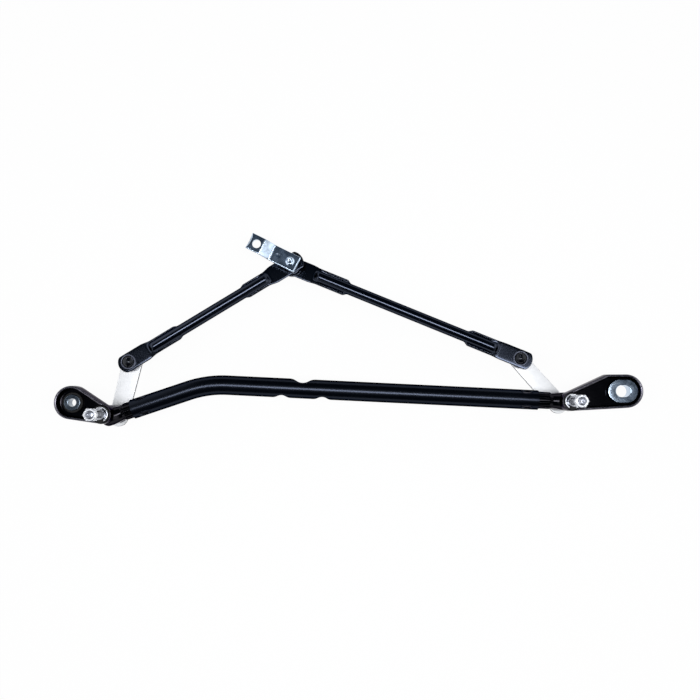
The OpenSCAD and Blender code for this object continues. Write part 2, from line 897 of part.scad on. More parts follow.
// Round section between two pads, ramped down to each of them
module round_section(from, to) {
  low = pad_t / 2;
  intersection() {
    translate([from, 0, 0]) lying(rod_r, to - from);
    rotate([90, 0, 0]) translate([0, 0, -rod_r]) linear_extrude(2 * rod_r) polygon([
      [from, -low],
      [from + ramp_len, -rod_r],
      [to - ramp_len, -rod_r],
      [to, -low],
      [to, low],
      [to - ramp_len, rod_r],
      [from + ramp_len, rod_r],
      [from, low]
    ]);
  }
}

// Pressed sheet link: two pads, two winged sections and the rolled middle with its seam
module link_rod(length, lever_wing, crank_wing, wing_half, lever_end_r, crank_hole_r) {
  crank_start = length - crank_pad_len;
  bore_from = lever_pad_len + ramp_len;
  bore_to = crank_start - ramp_len;
  difference() {
    union() {
      pad(lever_pad_half, lever_pad_len + ramp_len / 2, lever_end_r, socket_r + seat_fit);
      translate([length, 0, 0]) rotate(180)
        pad(crank_pad_half, crank_pad_len + ramp_len / 2, crank_pad_end_r, crank_hole_r);
      wings(wing_half, lever_pad_len, lever_wing);
      translate([length, 0, 0]) rotate(180) wings(wing_half, crank_pad_len, crank_wing);
      round_section(lever_pad_len, crank_start);
    }
    translate([bore_from, 0, 0]) lying(rod_r - rod_wall, bore_to - bore_from);
    translate([bore_from, -seam_w / 2, -rod_r - cut]) cube([bore_to - bore_from, seam_w, rod_r + cut]);
  }
}

module left_link_rod() {
  color(paint_black) on_left_link() link_rod(
    left_link_len, left_wing_lever, left_wing_crank, left_wing_half, left_pad_end_r, socket_r + seat_fit);
}

module right_link_rod() {
  color(paint_black) on_right_link() link_rod(
    right_link_len, right_wing_lever, right_wing_crank, right_wing_half, right_pad_end_r, cup_r + seat_fit);
}

// Ball sockets: plastic clipped through a pad, about the ball's centre

// Body with a flange under the pad and a snap collar over it
module socket_body(r, bottom) {
  translate([0, 0, bottom]) cylinder(r = r, h = snap_top - bottom);
  translate([0, 0, -socket_depth]) cylinder(r = r + socket_flange_w, h = socket_depth - pad_t / 2);
  translate([0, 0, pad_t / 2]) cylinder(r = r + snap_w, h = snap_top - pad_t / 2);
}

// Mouth that the ball snaps through, cut from the ball's centre outwards along Z
module socket_mouth(reach) {
  cylinder(r = ball_r * mouth_share, h = reach + cut);
}

// Closed socket with a domed top, open below
module domed_socket() {
  dome_r = cavity_r + socket_wall;
  color(plastic_black) difference() {
    union() {
      socket_body(socket_r, -socket_depth);
      intersection() {
        sphere(r = dome_r);
        cylinder(r = dome_r, h = dome_r + cut);
      }
    }
    translate([0, 0, snap_top - moat_depth]) difference() {
      cylinder(r = socket_r, h = moat_depth + cut);
      translate([0, 0, -cut]) cylinder(r = socket_r - moat_w, h = moat_depth + 3 * cut);
      translate([0, 0, moat_depth - snap_top]) sphere(r = dome_r - moat_w);
    }
    sphere(r = cavity_r);
    mirror([0, 0, 1]) socket_mouth(socket_depth);
  }
}

// Ring socket that the crank's stud passes right through
module open_socket() {
  color(plastic_black) difference() {
    socket_body(socket_r, -socket_depth);
    sphere(r = cavity_r);
    socket_mouth(snap_top);
    mirror([0, 0, 1]) socket_mouth(socket_depth);
  }
}

// Cup under the stud's lower ball, with free room around it
module open_cup() {
  color(plastic_black) difference() {
    socket_body(cup_r, -cup_r);
    sphere(r = cup_room_r);
    cylinder(r = cup_room_r, h = snap_top + cut);
  }
}

module left_link_lever_socket() {
  on_left_link() domed_socket();
}

module left_link_crank_socket() {
  on_left_link() translate([left_link_len, 0, 0]) open_socket();
}

module right_link_lever_socket() {
  on_right_link() domed_socket();
}

module right_link_crank_cup() {
  on_right_link() translate([right_link_len, 0, 0]) open_cup();
}

// Crank: its own frame has the ball stud at the origin and the motor hole along X

module on_crank() {
  translate(concat(crank_stud, crank_bottom)) rotate(crank_angle) children();
}

// Stepped strip with the motor hole in its raised pad
module crank_arm() {
  step_end = step_start + step_len;
  nose = crank_len + crank_nose;
  hollow_half = crank_w / 2 + hollow_over;
  hollow_r = (hollow_half * hollow_half + nose_hollow * nose_hollow) / (2 * nose_hollow);
  color(zinc) on_crank() difference() {
    rotate([90, 0, 0]) translate([0, 0, -crank_w / 2]) linear_extrude(crank_w) polygon([
      [-crank_tail, 0],
      [step_start, 0],
      [step_end, step_rise],
      [nose, step_rise],
      [nose, step_rise + crank_t],
      [step_end, step_rise + crank_t],
      [step_start, crank_t],
      [-crank_tail, crank_t]
    ]);
    translate([crank_len, 0, step_rise - cut]) cylinder(d = motor_hole_d, h = crank_t + 2 * cut);
    translate([nose + hollow_r - nose_hollow, 0, step_rise - cut])
      cylinder(r = hollow_r, h = crank_t + 2 * cut);
    translate([mark_along, 0, crank_t - mark_depth])
      linear_extrude(mark_depth + cut) slot(mark_w / 2, (mark_len - mark_w) / 2);
    translate([0, 0, -cut]) cylinder(r = neck_d / 2 + seat_fit, h = crank_t + 2 * cut);
  }
}

// Double ball stud riveted through the crank, with its lower ball hanging in the right link's cup
module crank_ball_stud() {
  neck_r = neck_d / 2;
  color(bright_steel) on_crank() {
    rotate_extrude() polygon([
      [0, -crank_lift],
      [neck_r, -crank_lift],
      [neck_r, -collar_h],
      [collar_d / 2, -collar_h],
      [collar_d / 2, 0],
      [neck_r, 0],
      [neck_r, crank_t],
      [rivet_d / 2, crank_t],
      [rivet_d / 2 - rivet_h / 2, crank_t + rivet_h],
      [0, crank_t + rivet_h]
    ]);
    translate([0, 0, -crank_lift]) sphere(r = ball_r);
    translate([0, 0, -crank_lift - ball_drop]) {
      cylinder(d = lower_neck_d, h = ball_drop);
      sphere(r = lower_ball_r);
    }
  }
}

frame_tube();
left_pivot_housing();
right_pivot_housing();
left_grommet();
right_grommet();
left_mount_sleeve();
right_mount_sleeve();
left_upper_bush();
left_lower_bush();
right_upper_bush();
right_lower_bush();
left_shaft_seal();
right_shaft_seal();
left_pivot_shaft();
left_lever();
left_lever_ball();
left_arm_nut();
left_retaining_clip();
left_thrust_washer();
left_lower_washer();
right_pivot_shaft();
right_lever();
right_lever_ball();
right_arm_nut();
right_retaining_clip();
right_thrust_washer();
right_lower_washer();
left_link_rod();
left_link_lever_socket();
left_link_crank_socket();
right_link_rod();
right_link_lever_socket();
right_link_crank_cup();
crank_arm();
crank_ball_stud();
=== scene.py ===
"""Finishes and fine forms of a wiper linkage, built over its CAD frame.

New pieces are grids of points: a profile turned about an axis, a section carried along a path, or a height
over a flat strip. Each function's docstring gives its formula in words. Lengths are in metres.
"""

import json
import math

import bmesh
import bpy
import numpy as np
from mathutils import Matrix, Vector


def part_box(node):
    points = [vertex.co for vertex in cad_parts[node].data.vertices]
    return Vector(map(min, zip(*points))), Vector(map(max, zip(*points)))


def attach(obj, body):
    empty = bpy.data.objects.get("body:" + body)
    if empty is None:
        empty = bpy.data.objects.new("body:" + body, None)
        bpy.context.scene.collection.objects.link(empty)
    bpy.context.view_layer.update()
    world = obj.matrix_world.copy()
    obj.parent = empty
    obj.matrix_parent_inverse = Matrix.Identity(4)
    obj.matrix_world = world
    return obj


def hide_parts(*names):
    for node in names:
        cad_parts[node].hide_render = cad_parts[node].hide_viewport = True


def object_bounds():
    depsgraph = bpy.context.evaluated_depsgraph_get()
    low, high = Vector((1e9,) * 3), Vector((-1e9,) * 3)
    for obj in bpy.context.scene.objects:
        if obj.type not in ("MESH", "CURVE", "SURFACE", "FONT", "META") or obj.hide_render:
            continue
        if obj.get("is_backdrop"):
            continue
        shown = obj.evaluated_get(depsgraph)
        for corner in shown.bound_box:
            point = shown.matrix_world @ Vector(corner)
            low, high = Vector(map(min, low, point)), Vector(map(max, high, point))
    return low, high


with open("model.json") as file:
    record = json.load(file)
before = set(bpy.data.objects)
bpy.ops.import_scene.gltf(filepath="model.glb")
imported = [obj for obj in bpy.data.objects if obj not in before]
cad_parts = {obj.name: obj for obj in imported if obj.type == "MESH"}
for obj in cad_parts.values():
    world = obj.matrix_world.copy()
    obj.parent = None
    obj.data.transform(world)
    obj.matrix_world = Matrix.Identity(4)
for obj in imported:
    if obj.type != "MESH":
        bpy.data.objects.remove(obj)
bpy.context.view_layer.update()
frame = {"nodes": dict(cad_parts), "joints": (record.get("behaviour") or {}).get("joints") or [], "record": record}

bl_info = {
    "name": "Wiper linkage",
    "version": (1, 0, 0),
    "blender": (4, 5, 0),
    "location": "View3D > Sidebar > Linkage",
    "description": "Builds the finishes and fine forms of a wiper linkage over its CAD frame",
    "category": "Object",
}

JOINTS = {joint["name"]: np.array(joint["pos_m"]) for joint in frame["joints"]}
SIDES = ("left", "right")
PIVOT = {side: JOINTS[side + "_pivot"][:2] for side in SIDES}
BALL = {side: JOINTS[side + "_link_ball"] for side in SIDES}
STUD = JOINTS["crank_spin"]
MERGE = 3e-6


# Places in the frame


def heights(node):
    """Lowest and highest level of a CAD node."""
    low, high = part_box(node)
    return low.z, high.z


def middle(node):
    """Middle of a CAD node's box, seen from above."""
    low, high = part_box(node)
    return np.array([(low.x + high.x) / 2, (low.y + high.y) / 2])


TUBE_Z = sum(heights("frame_tube")) / 2


# Surfaces


def ease(x, low, high):
    """Smooth step from 0 at low to 1 at high: t squared times 3 - 2t."""
    t = np.clip((x - low) / (high - low), 0.0, 1.0)
    return t * t * (3.0 - 2.0 * t)


def rounded(corners, radius, steps=6):
    """A polyline with its inner corners cut back along both sides and joined by quadratic blends:
    (1-t)^2 a + 2t(1-t) corner + t^2 b, where a and b lie at most the radius from the corner."""
    points = np.asarray(corners, float)
    before, corner, after = points[:-2], points[1:-1], points[2:]
    to_before, to_after = before - corner, after - corner
    long_before = np.linalg.norm(to_before, axis=1, keepdims=True)
    long_after = np.linalg.norm(to_after, axis=1, keepdims=True)
    cut = np.minimum(radius, 0.48 * np.minimum(long_before, long_after))
    a, b = corner + to_before / long_before * cut, corner + to_after / long_after * cut
    t = np.linspace(0.0, 1.0, steps)[None, :, None]
    arcs = (1 - t) ** 2 * a[:, None] + 2 * t * (1 - t) * corner[:, None] + t**2 * b[:, None]
    return np.concatenate([points[:1], arcs.reshape(-1, 2), points[-1:]])


def ring_section(corners, radius, steps=6):
    """A closed profile: the rounded polyline started and ended at the middle of its first side."""
    points = np.asarray(corners, float)
    middle = (points[:1] + points[1:2]) / 2
    return rounded(np.concatenate([middle, points[1:], points[:1], middle]), radius, steps)


def ball_arc(radius, height, start, end, steps=28):
    """Arc of a ball's outline from one polar angle to another, counted from its lowest point."""
    t = np.radians(np.linspace(start, end, steps))
    return np.stack([radius * np.sin(t), height - radius * np.cos(t)], axis=1)


def around(count):
    """Angles of a section's columns, the first half a step from X."""
    return (np.arange(count)[None, :] + 0.5) * 2 * np.pi / count


def turn_from(a, place):
    """Angle from a place round an axis, between -pi and pi."""
    return np.angle(np.exp(1j * (a - place)))


def polar(centre, rows, a):
    """A grid that wraps, from rows of radius and height at angles a: x = r cos a, y = r sin a."""
    r = np.concatenate([radius + 0 * a for radius, _ in rows])
    z = np.concatenate([height + 0 * a for _, height in rows])
    return np.stack([centre[0] + r * np.cos(a), centre[1] + r * np.sin(a), z], axis=-1), True


def turned(profile, centre, count=96, spread=0.0):
    """A profile of radius and height turned about Z at a centre. A spread parts the two halves along X, which
    turns a ring into a slot."""
    a = around(count)
    points, wrap = polar(centre, [(profile[:, :1], profile[:, 1:])], a)
    points[..., 0] += spread * np.sign(np.cos(a))
    return points, wrap


def drill(radius, low, high):
    """Outline of a plug between two heights. Turned, it cuts a bore."""
    return np.array([[0.0, low], [radius, low], [radius, high], [0.0, high]])


def raised(plan, height):
    """A grid that wraps, from rows of plan points, each row at its own height."""
    z = np.broadcast_to(height[:, None, None], plan.shape[:2] + (1,))
    return np.concatenate([plan, z], axis=-1), True


def carried(x, y, z):
    """A grid that wraps, from a section's points y and z at each place x."""
    return np.stack([x + 0 * y, y, z], axis=-1), True


def level_axes(run):
    """A frame with X along a level run and Z up."""
    x, y = run / np.linalg.norm(run)
    return np.array([[x, y, 0.0], [-y, x, 0.0], [0.0, 0.0, 1.0]])


def tilted(grid, origin, axes):
    """A grid in a piece's own frame, carried to its place: origin + x ex + y ey + z ez."""
    points, wrap = grid
    return origin + points @ axes, wrap


def box_section(half, thick, corner, flat=14, arc=6):
    """Loop of a rounded box of given half sizes: four corner arcs with points along the flats between."""
    t = np.linspace(0.0, np.pi / 2, arc)
    quarter = np.array([half - corner, thick - corner]) + corner * np.stack([np.cos(t), np.sin(t)], axis=1)
    arcs = [quarter, quarter[::-1] * [-1, 1], -quarter, quarter[::-1] * [1, -1]]
    share = np.linspace(0.0, 1.0, flat + 2)[1:-1, None]
    flats = [a[-1] + share * (b[0] - a[-1]) for a, b in zip(arcs, arcs[1:] + arcs[:1])]
    return np.concatenate([part for pair in zip(arcs, flats) for part in pair])


def mesh_of(name, grids, sharp):
    """One mesh from grids of points, rows by columns by 3. A grid's cells are quads, and a grid that wraps
    joins its last column to its first. Points that coincide are merged, so poles and seams close."""
    points, quads, start = [], [], 0
    for grid, wrap in grids:
        rows, columns = grid.shape[:2]
        index = np.arange(rows * columns).reshape(rows, columns) + start
        if wrap:
            index = np.concatenate([index, index[:, :1]], axis=1)
        cells = np.stack([index[:-1, :-1], index[:-1, 1:], index[1:, 1:], index[1:, :-1]], axis=-1)
        points.append(grid.reshape(-1, 3))
        quads.append(cells.reshape(-1, 4))
        start += rows * columns
    points, quads = np.concatenate(points), np.concatenate(quads)
    mesh = bpy.data.meshes.new(name)
    mesh.vertices.add(len(points))
    mesh.vertices.foreach_set("co", points.astype(np.float32).ravel())
    mesh.loops.add(quads.size)
    mesh.loops.foreach_set("vertex_index", quads.astype(np.int32).ravel())
    mesh.polygons.add(len(quads))
    mesh.polygons.foreach_set("loop_start", np.arange(0, quads.size, 4, dtype=np.int32))
    mesh.update(calc_edges=True)
    mesh.validate()
    edit = bmesh.new()
    edit.from_mesh(mesh)
    bmesh.ops.remove_doubles(edit, verts=edit.verts, dist=MERGE)
    bmesh.ops.recalc_face_normals(edit, faces=edit.faces)
    edit.to_mesh(mesh)
    edit.free()
    mesh.shade_smooth()
    mesh.set_sharp_from_angle(angle=math.radians(sharp))
    return mesh


def bored(name, grids, bores, sharp):
    """One mesh from grids, less the bores, each cut by an exact Boolean."""
    blank = bpy.data.objects.new(name, mesh_of(name, grids, sharp))
    bpy.context.scene.collection.objects.link(blank)
    for bore in bores:
        cutter = bpy.data.objects.new(name + "_bore", mesh_of(name + "_bore", [bore], sharp))
        bpy.context.scene.collection.objects.link(cutter)
        cut = blank.modifiers.new("bore", "BOOLEAN")
        cut.operation, cut.solver, cut.object = "DIFFERENCE", "EXACT", cutter
        depsgraph = bpy.context.evaluated_depsgraph_get()
        solid = bpy.data.meshes.new_from_object(blank.evaluated_get(depsgraph))
        blank.modifiers.clear()
        worn, blank.data = blank.data, solid
        bpy.data.meshes.remove(worn)
        bpy.data.meshes.remove(cutter.data)
    mesh = blank.data
    bpy.data.objects.remove(blank)
    return mesh


def piece(name, grids, body, material, replaces=(), bores=(), joined=(), sharp=38.0):
    """A piece of the linkage from its grids, less any bores, with its finish, riding on a body. Further
    grids, each with bores of its own, are joined to it."""
    mesh = bored(name, grids, bores, sharp)
    for grid, grid_bores in joined:
        added = bored(name + "_joined", [grid], grid_bores, sharp)
        edit = bmesh.new()
        edit.from_mesh(mesh)
        edit.from_mesh(added)
        edit.to_mesh(mesh)
        edit.free()
        bpy.data.meshes.remove(added)
    mesh.name = name
    mesh.shade_smooth()
    mesh.set_sharp_from_angle(angle=math.radians(sharp))
    mesh.materials.clear()
    mesh.materials.append(material)
    made = bpy.data.objects.new(name, mesh)
    bpy.context.scene.collection.objects.link(made)
    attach(made, body)
    if replaces:
        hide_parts(*replaces)
    return made


def dress(material, *nodes):
    """Gives carried-over CAD nodes one finish."""
    for node in nodes:
        mesh = frame["nodes"][node].data
        mesh.materials.clear()
        mesh.materials.append(material)


# Finishes


class Wire:
    """A socket of a node tree. Arithmetic on it adds Math nodes, and node() adds any other node."""

    def __init__(self, tree, socket=None):
        self.tree, self.socket = tree, socket

    def node(self, kind, settings, values, give=0):
        """Adds a node of one type, sets its settings and its sockets' values or links, and gives one
        output."""
        made = self.tree.nodes.new(kind)
        for key, value in settings.items():
            setattr(made, key, value)
        for key, value in values.items():
            if isinstance(value, Wire):
                self.tree.links.new(value.socket, made.inputs[key])
            else:
                made.inputs[key].default_value = value
        return Wire(self.tree, made.outputs[give])

    def math(self, operation, first, second):
        return self.node("ShaderNodeMath", {"operation": operation}, {0: first, 1: second})

    def __add__(self, other):
        return self.math("ADD", self, other)

    __radd__ = __add__

    def __sub__(self, other):
        return self.math("SUBTRACT", self, other)

    def __rsub__(self, other):
        return self.math("SUBTRACT", other, self)

    def __mul__(self, other):
        return self.math("MULTIPLY", self, other)

    __rmul__ = __mul__

    def size(self):
        """This value without its sign."""
        return self.math("ABSOLUTE", self, 0.0)

    def axis(self, name):
        """One part of a vector."""
        return self.node("ShaderNodeSeparateXYZ", {}, {"Vector": self}, give=name)

    def clip(self, low, high):
        """Ramps this value from 0 at low to 1 at high."""
        values = {0: self, 1: low, 2: high, 3: 0.0, 4: 1.0}
        return self.node("ShaderNodeMapRange", {"interpolation_type": "SMOOTHSTEP"}, values)

    def mix(self, first, second):
        """Colour between two, with this value as the factor."""
        return self.node("ShaderNodeMix", {"data_type": "RGBA"}, {0: self, 6: first, 7: second}, give=2)

    def feed(self, shader, name):
        self.tree.links.new(self.socket, shader.inputs[name])


class Finish:
    """A material with its shader, its coordinates and the patterns that finishes share."""

    def __init__(self, name, **constants):
        self.material = bpy.data.materials.new(name)
        self.material.use_nodes = True
        self.tree = self.material.node_tree
        self.shader = self.tree.nodes["Principled BSDF"]
        for key, value in constants.items():
            self.shader.inputs[key.replace("_", " ")].default_value = value
        self.start = Wire(self.tree)
        self.place = self.start.node("ShaderNodeTexCoord", {}, {}, give="Object")

    def noise(self, scale, detail=3.0, stretch=(1.0, 1.0, 1.0), rough=0.55):
        """Cloud noise, with cells of about one over the scale, drawn out along an axis by a small stretch."""
        place = self.place
        if stretch != (1.0, 1.0, 1.0):
            place = self.start.node("ShaderNodeMapping", {}, {"Vector": place, "Scale": stretch})
        values = {"Vector": place, "Scale": scale, "Detail": detail, "Roughness": rough}
        return self.start.node("ShaderNodeTexNoise", {}, values)

    def crystals(self, scale):
        """Patches of one value each, as crystals in a plated coat."""
        values = {"Vector": self.place, "Scale": scale}
        patch = self.start.node("ShaderNodeTexVoronoi", {"feature": "F1"}, values, give="Color")
        return self.start.node("ShaderNodeSeparateColor", {}, {"Color": patch})

    def geometry(self, give):
        """A measure of the surface, such as its direction."""
        return self.start.node("ShaderNodeNewGeometry", {}, {}, give=give)

    def walls(self):
        """1 on upright walls and 0 on faces that look up or down."""
        return 1.0 - self.geometry("Normal").axis("Z").size().clip(0.3, 0.8)

    def edges(self, radius):
        """1 at sharp edges and 0 on the flats: how far a direction rounded over a radius leans from the true
        one."""
        soft = self.start.node("ShaderNodeBevel", {"samples": 6}, {"Radius": radius})
        values = {0: soft, 1: self.geometry("True Normal")}
        lean = self.start.node("ShaderNodeVectorMath", {"operation": "DOT_PRODUCT"}, values, give="Value")
        return (1.0 - lean).clip(0.02, 0.2)

    def done(self, tone, rough, height, depth):
        """Feeds a colour, a roughness and a bump of some depth to the shader, and returns the material."""
        tone.feed(self.shader, "Base Color")
        rough.feed(self.shader, "Roughness")
        values = {"Height": height, "Distance": depth, "Strength": 1.0}
        self.start.node("ShaderNodeBump", {}, values).feed(self.shader, "Normal")
        return self.material


def colour(values):
    return (*values[:3], 1.0)


def shade(values, factor):
    return colour([min(1.0, v * factor) for v in values])


def black_paint(name, base, rough):
    """Semi-gloss stoved paint: a faint orange peel, cloudy gloss and dust specks. Its sheen is that of a dark
    metal with a dark edge tint, which keeps the flanks of the tubes as black as they are in the photo."""
    made = Finish(name, Metallic=1.0, Specular_Tint=(0.05, 0.05, 0.055, 1.0))
    cloud, peel = made.noise(38.0), made.noise(620.0, 2.0)
    speck = made.noise(2600.0, 1.0).clip(0.74, 0.8)
    tone = cloud.mix(shade(base, 0.8), shade(base, 1.2))
    tone = (speck * 0.15).mix(tone, shade(base, 1.8))
    return made.done(tone, cloud * 0.08 + peel * 0.04 + speck * 0.1 + (rough - 0.06), peel, 8e-7)


def cast_black(name, base, rough, rim_top):
    """Black coated die casting: fine grain, flow clouds, and a painted highlight along the rims, found by their
    height.
    As on the paint, the sheen is that of a dark metal with a dark edge tint."""
    made = Finish(name, Metallic=1.0, Specular_Tint=(0.37, 0.36, 0.385, 1.0))
    grain, cloud = made.noise(2600.0, 2.0), made.noise(60.0, 4.0)
    height = made.place.axis("Z")
    over_wall = height.clip(rim_top - 0.0014, rim_top - 0.0004)
    over_rim = height.clip(rim_top + 0.0001, rim_top + 0.0004)
    edge = over_wall * (1.0 - over_rim)
    # Painted highlight: the band at the rims' top edges is drawn much paler, patchy by a noise.
    rim_highlight = edge * (made.noise(240.0).clip(0.3, 0.6) * 0.4 + 0.6)
    tone = cloud.mix(shade(base, 0.7), shade(base, 1.3))
    tone = (grain * 0.3).mix(tone, shade(base, 1.5))
    tone = rim_highlight.mix(tone, shade(base, 9.0))
    return made.done(tone, grain * 0.05 + cloud * 0.05 + (rough - 0.05) + edge * 0.12, grain, 1.5e-6)


def zinc_plate(name, base, rough, mottle, rim, grain=(1.0, 1.0, 1.0)):
    """Plated steel: crystal patches and clouds in the colour, fine rolling lines, and the upright walls in one
    plain tone, the colour times rim."""
    sheen = 0.3 + 0.7 * rim
    made = Finish(name, Metallic=1.0, Specular_Tint=(sheen, sheen, sheen, 1.0))
    crystal, cloud = made.crystals(420.0), made.noise(110.0, 5.0, rough=0.65)
    line = made.noise(700.0, 3.0, grain)
    tone = cloud.clip(0.3, 0.7).mix(shade(base, 1.0 - mottle), shade(base, 1.0 + 0.5 * mottle))
    tone = (crystal * mottle * 0.6).mix(tone, shade(base, 0.6))
    tone = (made.walls() * 0.85).mix(tone, shade(base, rim))
    return made.done(tone, cloud * 0.08 + line * 0.06 + (rough - 0.06), line + cloud * 0.6, 4e-7)


def turned_steel(name, base, rough):
    """Turned steel: fine tool rings round the axis, faint clouds and a painted highlight on the edges."""
    made = Finish(name, Metallic=1.0)
    ring, cloud = made.noise(3000.0, 2.0, (0.05, 0.05, 1.0)), made.noise(120.0)
    tone = cloud.mix(shade(base, 0.72), shade(base, 1.12))
    # Painted highlight: sharp edges are drawn in a pale grey.
    tone = (made.edges(0.0003) * 0.4).mix(tone, (0.7, 0.72, 0.75, 1.0))
    return made.done(tone, ring * 0.16 + cloud * 0.1 + (rough - 0.12), ring, 1e-5)


def moulded_plastic(name, base, rough):
    """Moulded plastic: spark-eroded grain, clouds in the gloss and a painted highlight on the edges."""
    made = Finish(name, Specular_IOR_Level=0.3, Specular_Tint=(0.8, 0.86, 1.0, 1.0))
    grain, cloud = made.noise(1900.0, 3.0), made.noise(90.0)
    # Painted highlight: convex edges, found by pointiness, are drawn in a much paler tone.
    edge = made.geometry("Pointiness").clip(0.512, 0.522)
    tone = cloud.mix(shade(base, 0.7), shade(base, 1.4))
    tone = (edge * 0.8).mix(tone, shade(base, 60.0))
    return made.done(tone, grain * 0.06 + cloud * 0.06 + (rough - 0.06), grain, 2e-6)


def soft_rubber(name, base, rough):
    """Matt rubber: bloom in dusty clouds over a fine grain."""
    made = Finish(name, Specular_IOR_Level=0.3)
    grain, bloom = made.noise(1500.0, 4.0), made.noise(140.0, 4.0).clip(0.45, 0.8)
    tone = (bloom * 0.5).mix(shade(base, 0.8), shade(base, 2.6))
    return made.done(tone, bloom * 0.1 + grain * 0.1 + (rough - 0.1), grain, 4e-5)


def sintered_bronze(name, base, rough):
    """Sintered bronze: open pores, oily dark patches and a worn sheen."""
    made = Finish(name, Metallic=0.9)
    pore, oil = made.noise(3200.0, 2.0).clip(0.55, 0.7), made.noise(200.0, 4.0)
    tone = oil.mix(shade(base, 0.55), shade(base, 1.15))
    tone = (pore * 0.6).mix(tone, shade(base, 0.25))
    return made.done(tone, pore * 0.25 + oil * 0.15 + (rough - 0.1), 1.0 - pore, 3e-5)


# Settings


def number(name, text, default, **kind):
    """A setting of one number."""
    return bpy.props.FloatProperty(name=name, description=text, default=default, **kind)


def vector(name, text, default, **kind):
    """A setting of several numbers, such as a place or a turn."""
    size = len(default)
    return bpy.props.FloatVectorProperty(name=name, description=text, default=default, size=size, **kind)


def count(name, text, default, low, high):
    """A whole number between two limits."""
    return bpy.props.IntProperty(name=name, description=text, default=default, min=low, max=high)


def length(name, text, default):
    """A length setting, in metres."""
    return number(name, text, default, min=0.0, precision=5, unit="LENGTH")


def tint(name, text, default):
    """A colour setting."""
    return vector(name, text, default, min=0.0, max=1.0, subtype="COLOR")


def amount(name, text, default):
    """A share between 0 and 1."""
    return number(name, text, default, min=0.0, max=1.0, subtype="FACTOR")


class TubeSizes(bpy.types.PropertyGroup):
    """Sizes of the frame tube."""

    radius: length("Radius", "Outer radius of the tube", 0.011)
    wall: length("Wall", "Wall of the tube", 0.0015)
    corner: vector("Corner", "Point where the two straight runs would meet", (0.1467, 0.0208))
    slope: number("Slope", "Slope of the short run", math.radians(18.6), subtype="ANGLE")
    bend: length("Bend", "Centre line radius of the bend", 0.12)
    left_gap: length("Left gap", "Left end of the tube, from the left pivot", 0.029)
    right_gap: length("Right gap", "Right end of the tube, from the right pivot", 0.033)
    dent_along: length("Dents along", "Middle dent, from the corner of the runs", 0.107)
    dent_pitch: length("Dent pitch", "Spacing of the press dents", 0.023)
    dent_deep: length("Deep dent", "Depth of the middle dent", 0.0043)
    dent_shallow: length("Shallow dents", "Depth of the outer dents", 0.0027)
    deep_radius: length("Deep dent radius", "Radius of the middle dent's die and shoulders", 0.0135)
    shallow_radius: length("Shallow dent radius", "Radius of the outer dents' die and shoulders", 0.0105)
    crimp_inset: length("Crimp inset", "Crimp dimples, in from a tube end", 0.013)
    crimp_depth: length("Crimp depth", "Depth of a crimp dimple", 0.0018)
    crimp_long: length("Crimp length", "Half length of a crimp dimple", 0.0065)
    crimp_wide: length("Crimp width", "Half width of a crimp dimple", 0.0034)


class HousingSizes(bpy.types.PropertyGroup):
    """Sizes of the cast housings."""

    eye: length("Eye", "Outer radius of a mounting eye", 0.0189)
    eye_spread: length("Eye spread", "Half spread of the right eye's two arcs", 0.002)
    around_boss: length("Tray at the boss", "Outer radius of a tray around its boss", 0.0109)
    shoulder_back: length("Shoulder back", "Shoulder of the right tray, back from its mount", 0.0172)
    shoulder_side: length("Shoulder side", "Shoulder of the right tray, across from its mount", 0.0108)
    shoulder: length("Shoulder", "Radius of the right tray's shoulder", 0.008)
    floor_low: length("Floor underside", "Underside of a tray's floor above the seat", 0.005)
    floor_top: length("Floor", "Top of a tray's floor above the seat", 0.009)
    rim_top: length("Rim", "Top of a tray's rim above the seat", 0.02)
    rim: length("Rim wall", "Wall of a tray's rim at its top", 0.0024)
    draft: length("Draft", "Lean of a rim's sides over its height", 0.0006)
    boss: length("Boss", "Radius of a bearing boss", 0.0105)
    bore: length("Bore", "Radius of a boss's bore", 0.0077)
    root: length("Root", "Half height of a neck at its boss", 0.012)
    neck: length("Neck", "Smooth part of a neck, from its pivot", 0.016)
    spigot: length("Spigot", "Ribbed spigot inside the tube", 0.026)
    ribs: count("Ribs", "Ribs around a spigot", 12, 6, 20)
    rib_high: length("Rib height", "Height of a spigot's ribs", 0.0014)
    rib_wide: length("Rib width", "Width of a spigot's ribs", 0.002)
    gusset: length("Gusset", "Gusset under an arm, down from the floor", 0.026)
    gusset_thick: length("Gusset thickness", "Half thickness of a gusset", 0.0025)
    web: length("Web", "Reach of the small web on a tray's floor, from its pivot", 0.023)


class LinkSizes(bpy.types.PropertyGroup):
    """Sizes of the pressed links."""

    rod: length("Rod", "Radius of the rolled middle", 0.0068)
    pad: length("Pad", "Half thickness of a flat pad", 0.0015)
    lever_half: length("Lever pad", "Half width of a lever pad", 0.0104)
    crank_half: length("Crank pad", "Half width of a crank pad", 0.0108)
    left_end: length("Left pad end", "Round end of the left link's lever pad, from its ball", 0.0126)
    right_end: length("Right pad end", "Round end of the right link's lever pad, from its ball", 0.0142)
    crank_end: length("Crank pad end", "Round end of a crank pad, from its ball", 0.0152)
    lever_long: length("Lever pad length", "Flat pad of a lever end, from its ball", 0.025)
    crank_long: length("Crank pad length", "Flat pad of a crank end, from its ball", 0.027)
    ramp: length("Ramp", "Ramp between a pad and the round section", 0.009)
    wing: length("Wing", "Half thickness of a winged section", 0.0023)
    shoulder: length("Shoulder", "Run of a winged section's shoulder", 0.0065)
    lip: length("Lip", "Height of the lips along the wings' edges", 0.0008)
    seam: length("Seam", "Depth of the rolled seam", 0.0012)
    left_half: length("Left wing width", "Half width of the left link's wings", 0.0086)
    right_half: length("Right wing width", "Half width of the right link's wings", 0.0097)
    left_lever: length("Left lever wing", "Left link's wings beyond the lever pad", 0.046)
    left_crank: length("Left crank wing", "Left link's wings beyond the crank pad", 0.04)
    right_lever: length("Right lever wing", "Right link's wings beyond the lever pad", 0.044)
    right_crank: length("Right crank wing", "Right link's wings beyond the crank pad", 0.048)


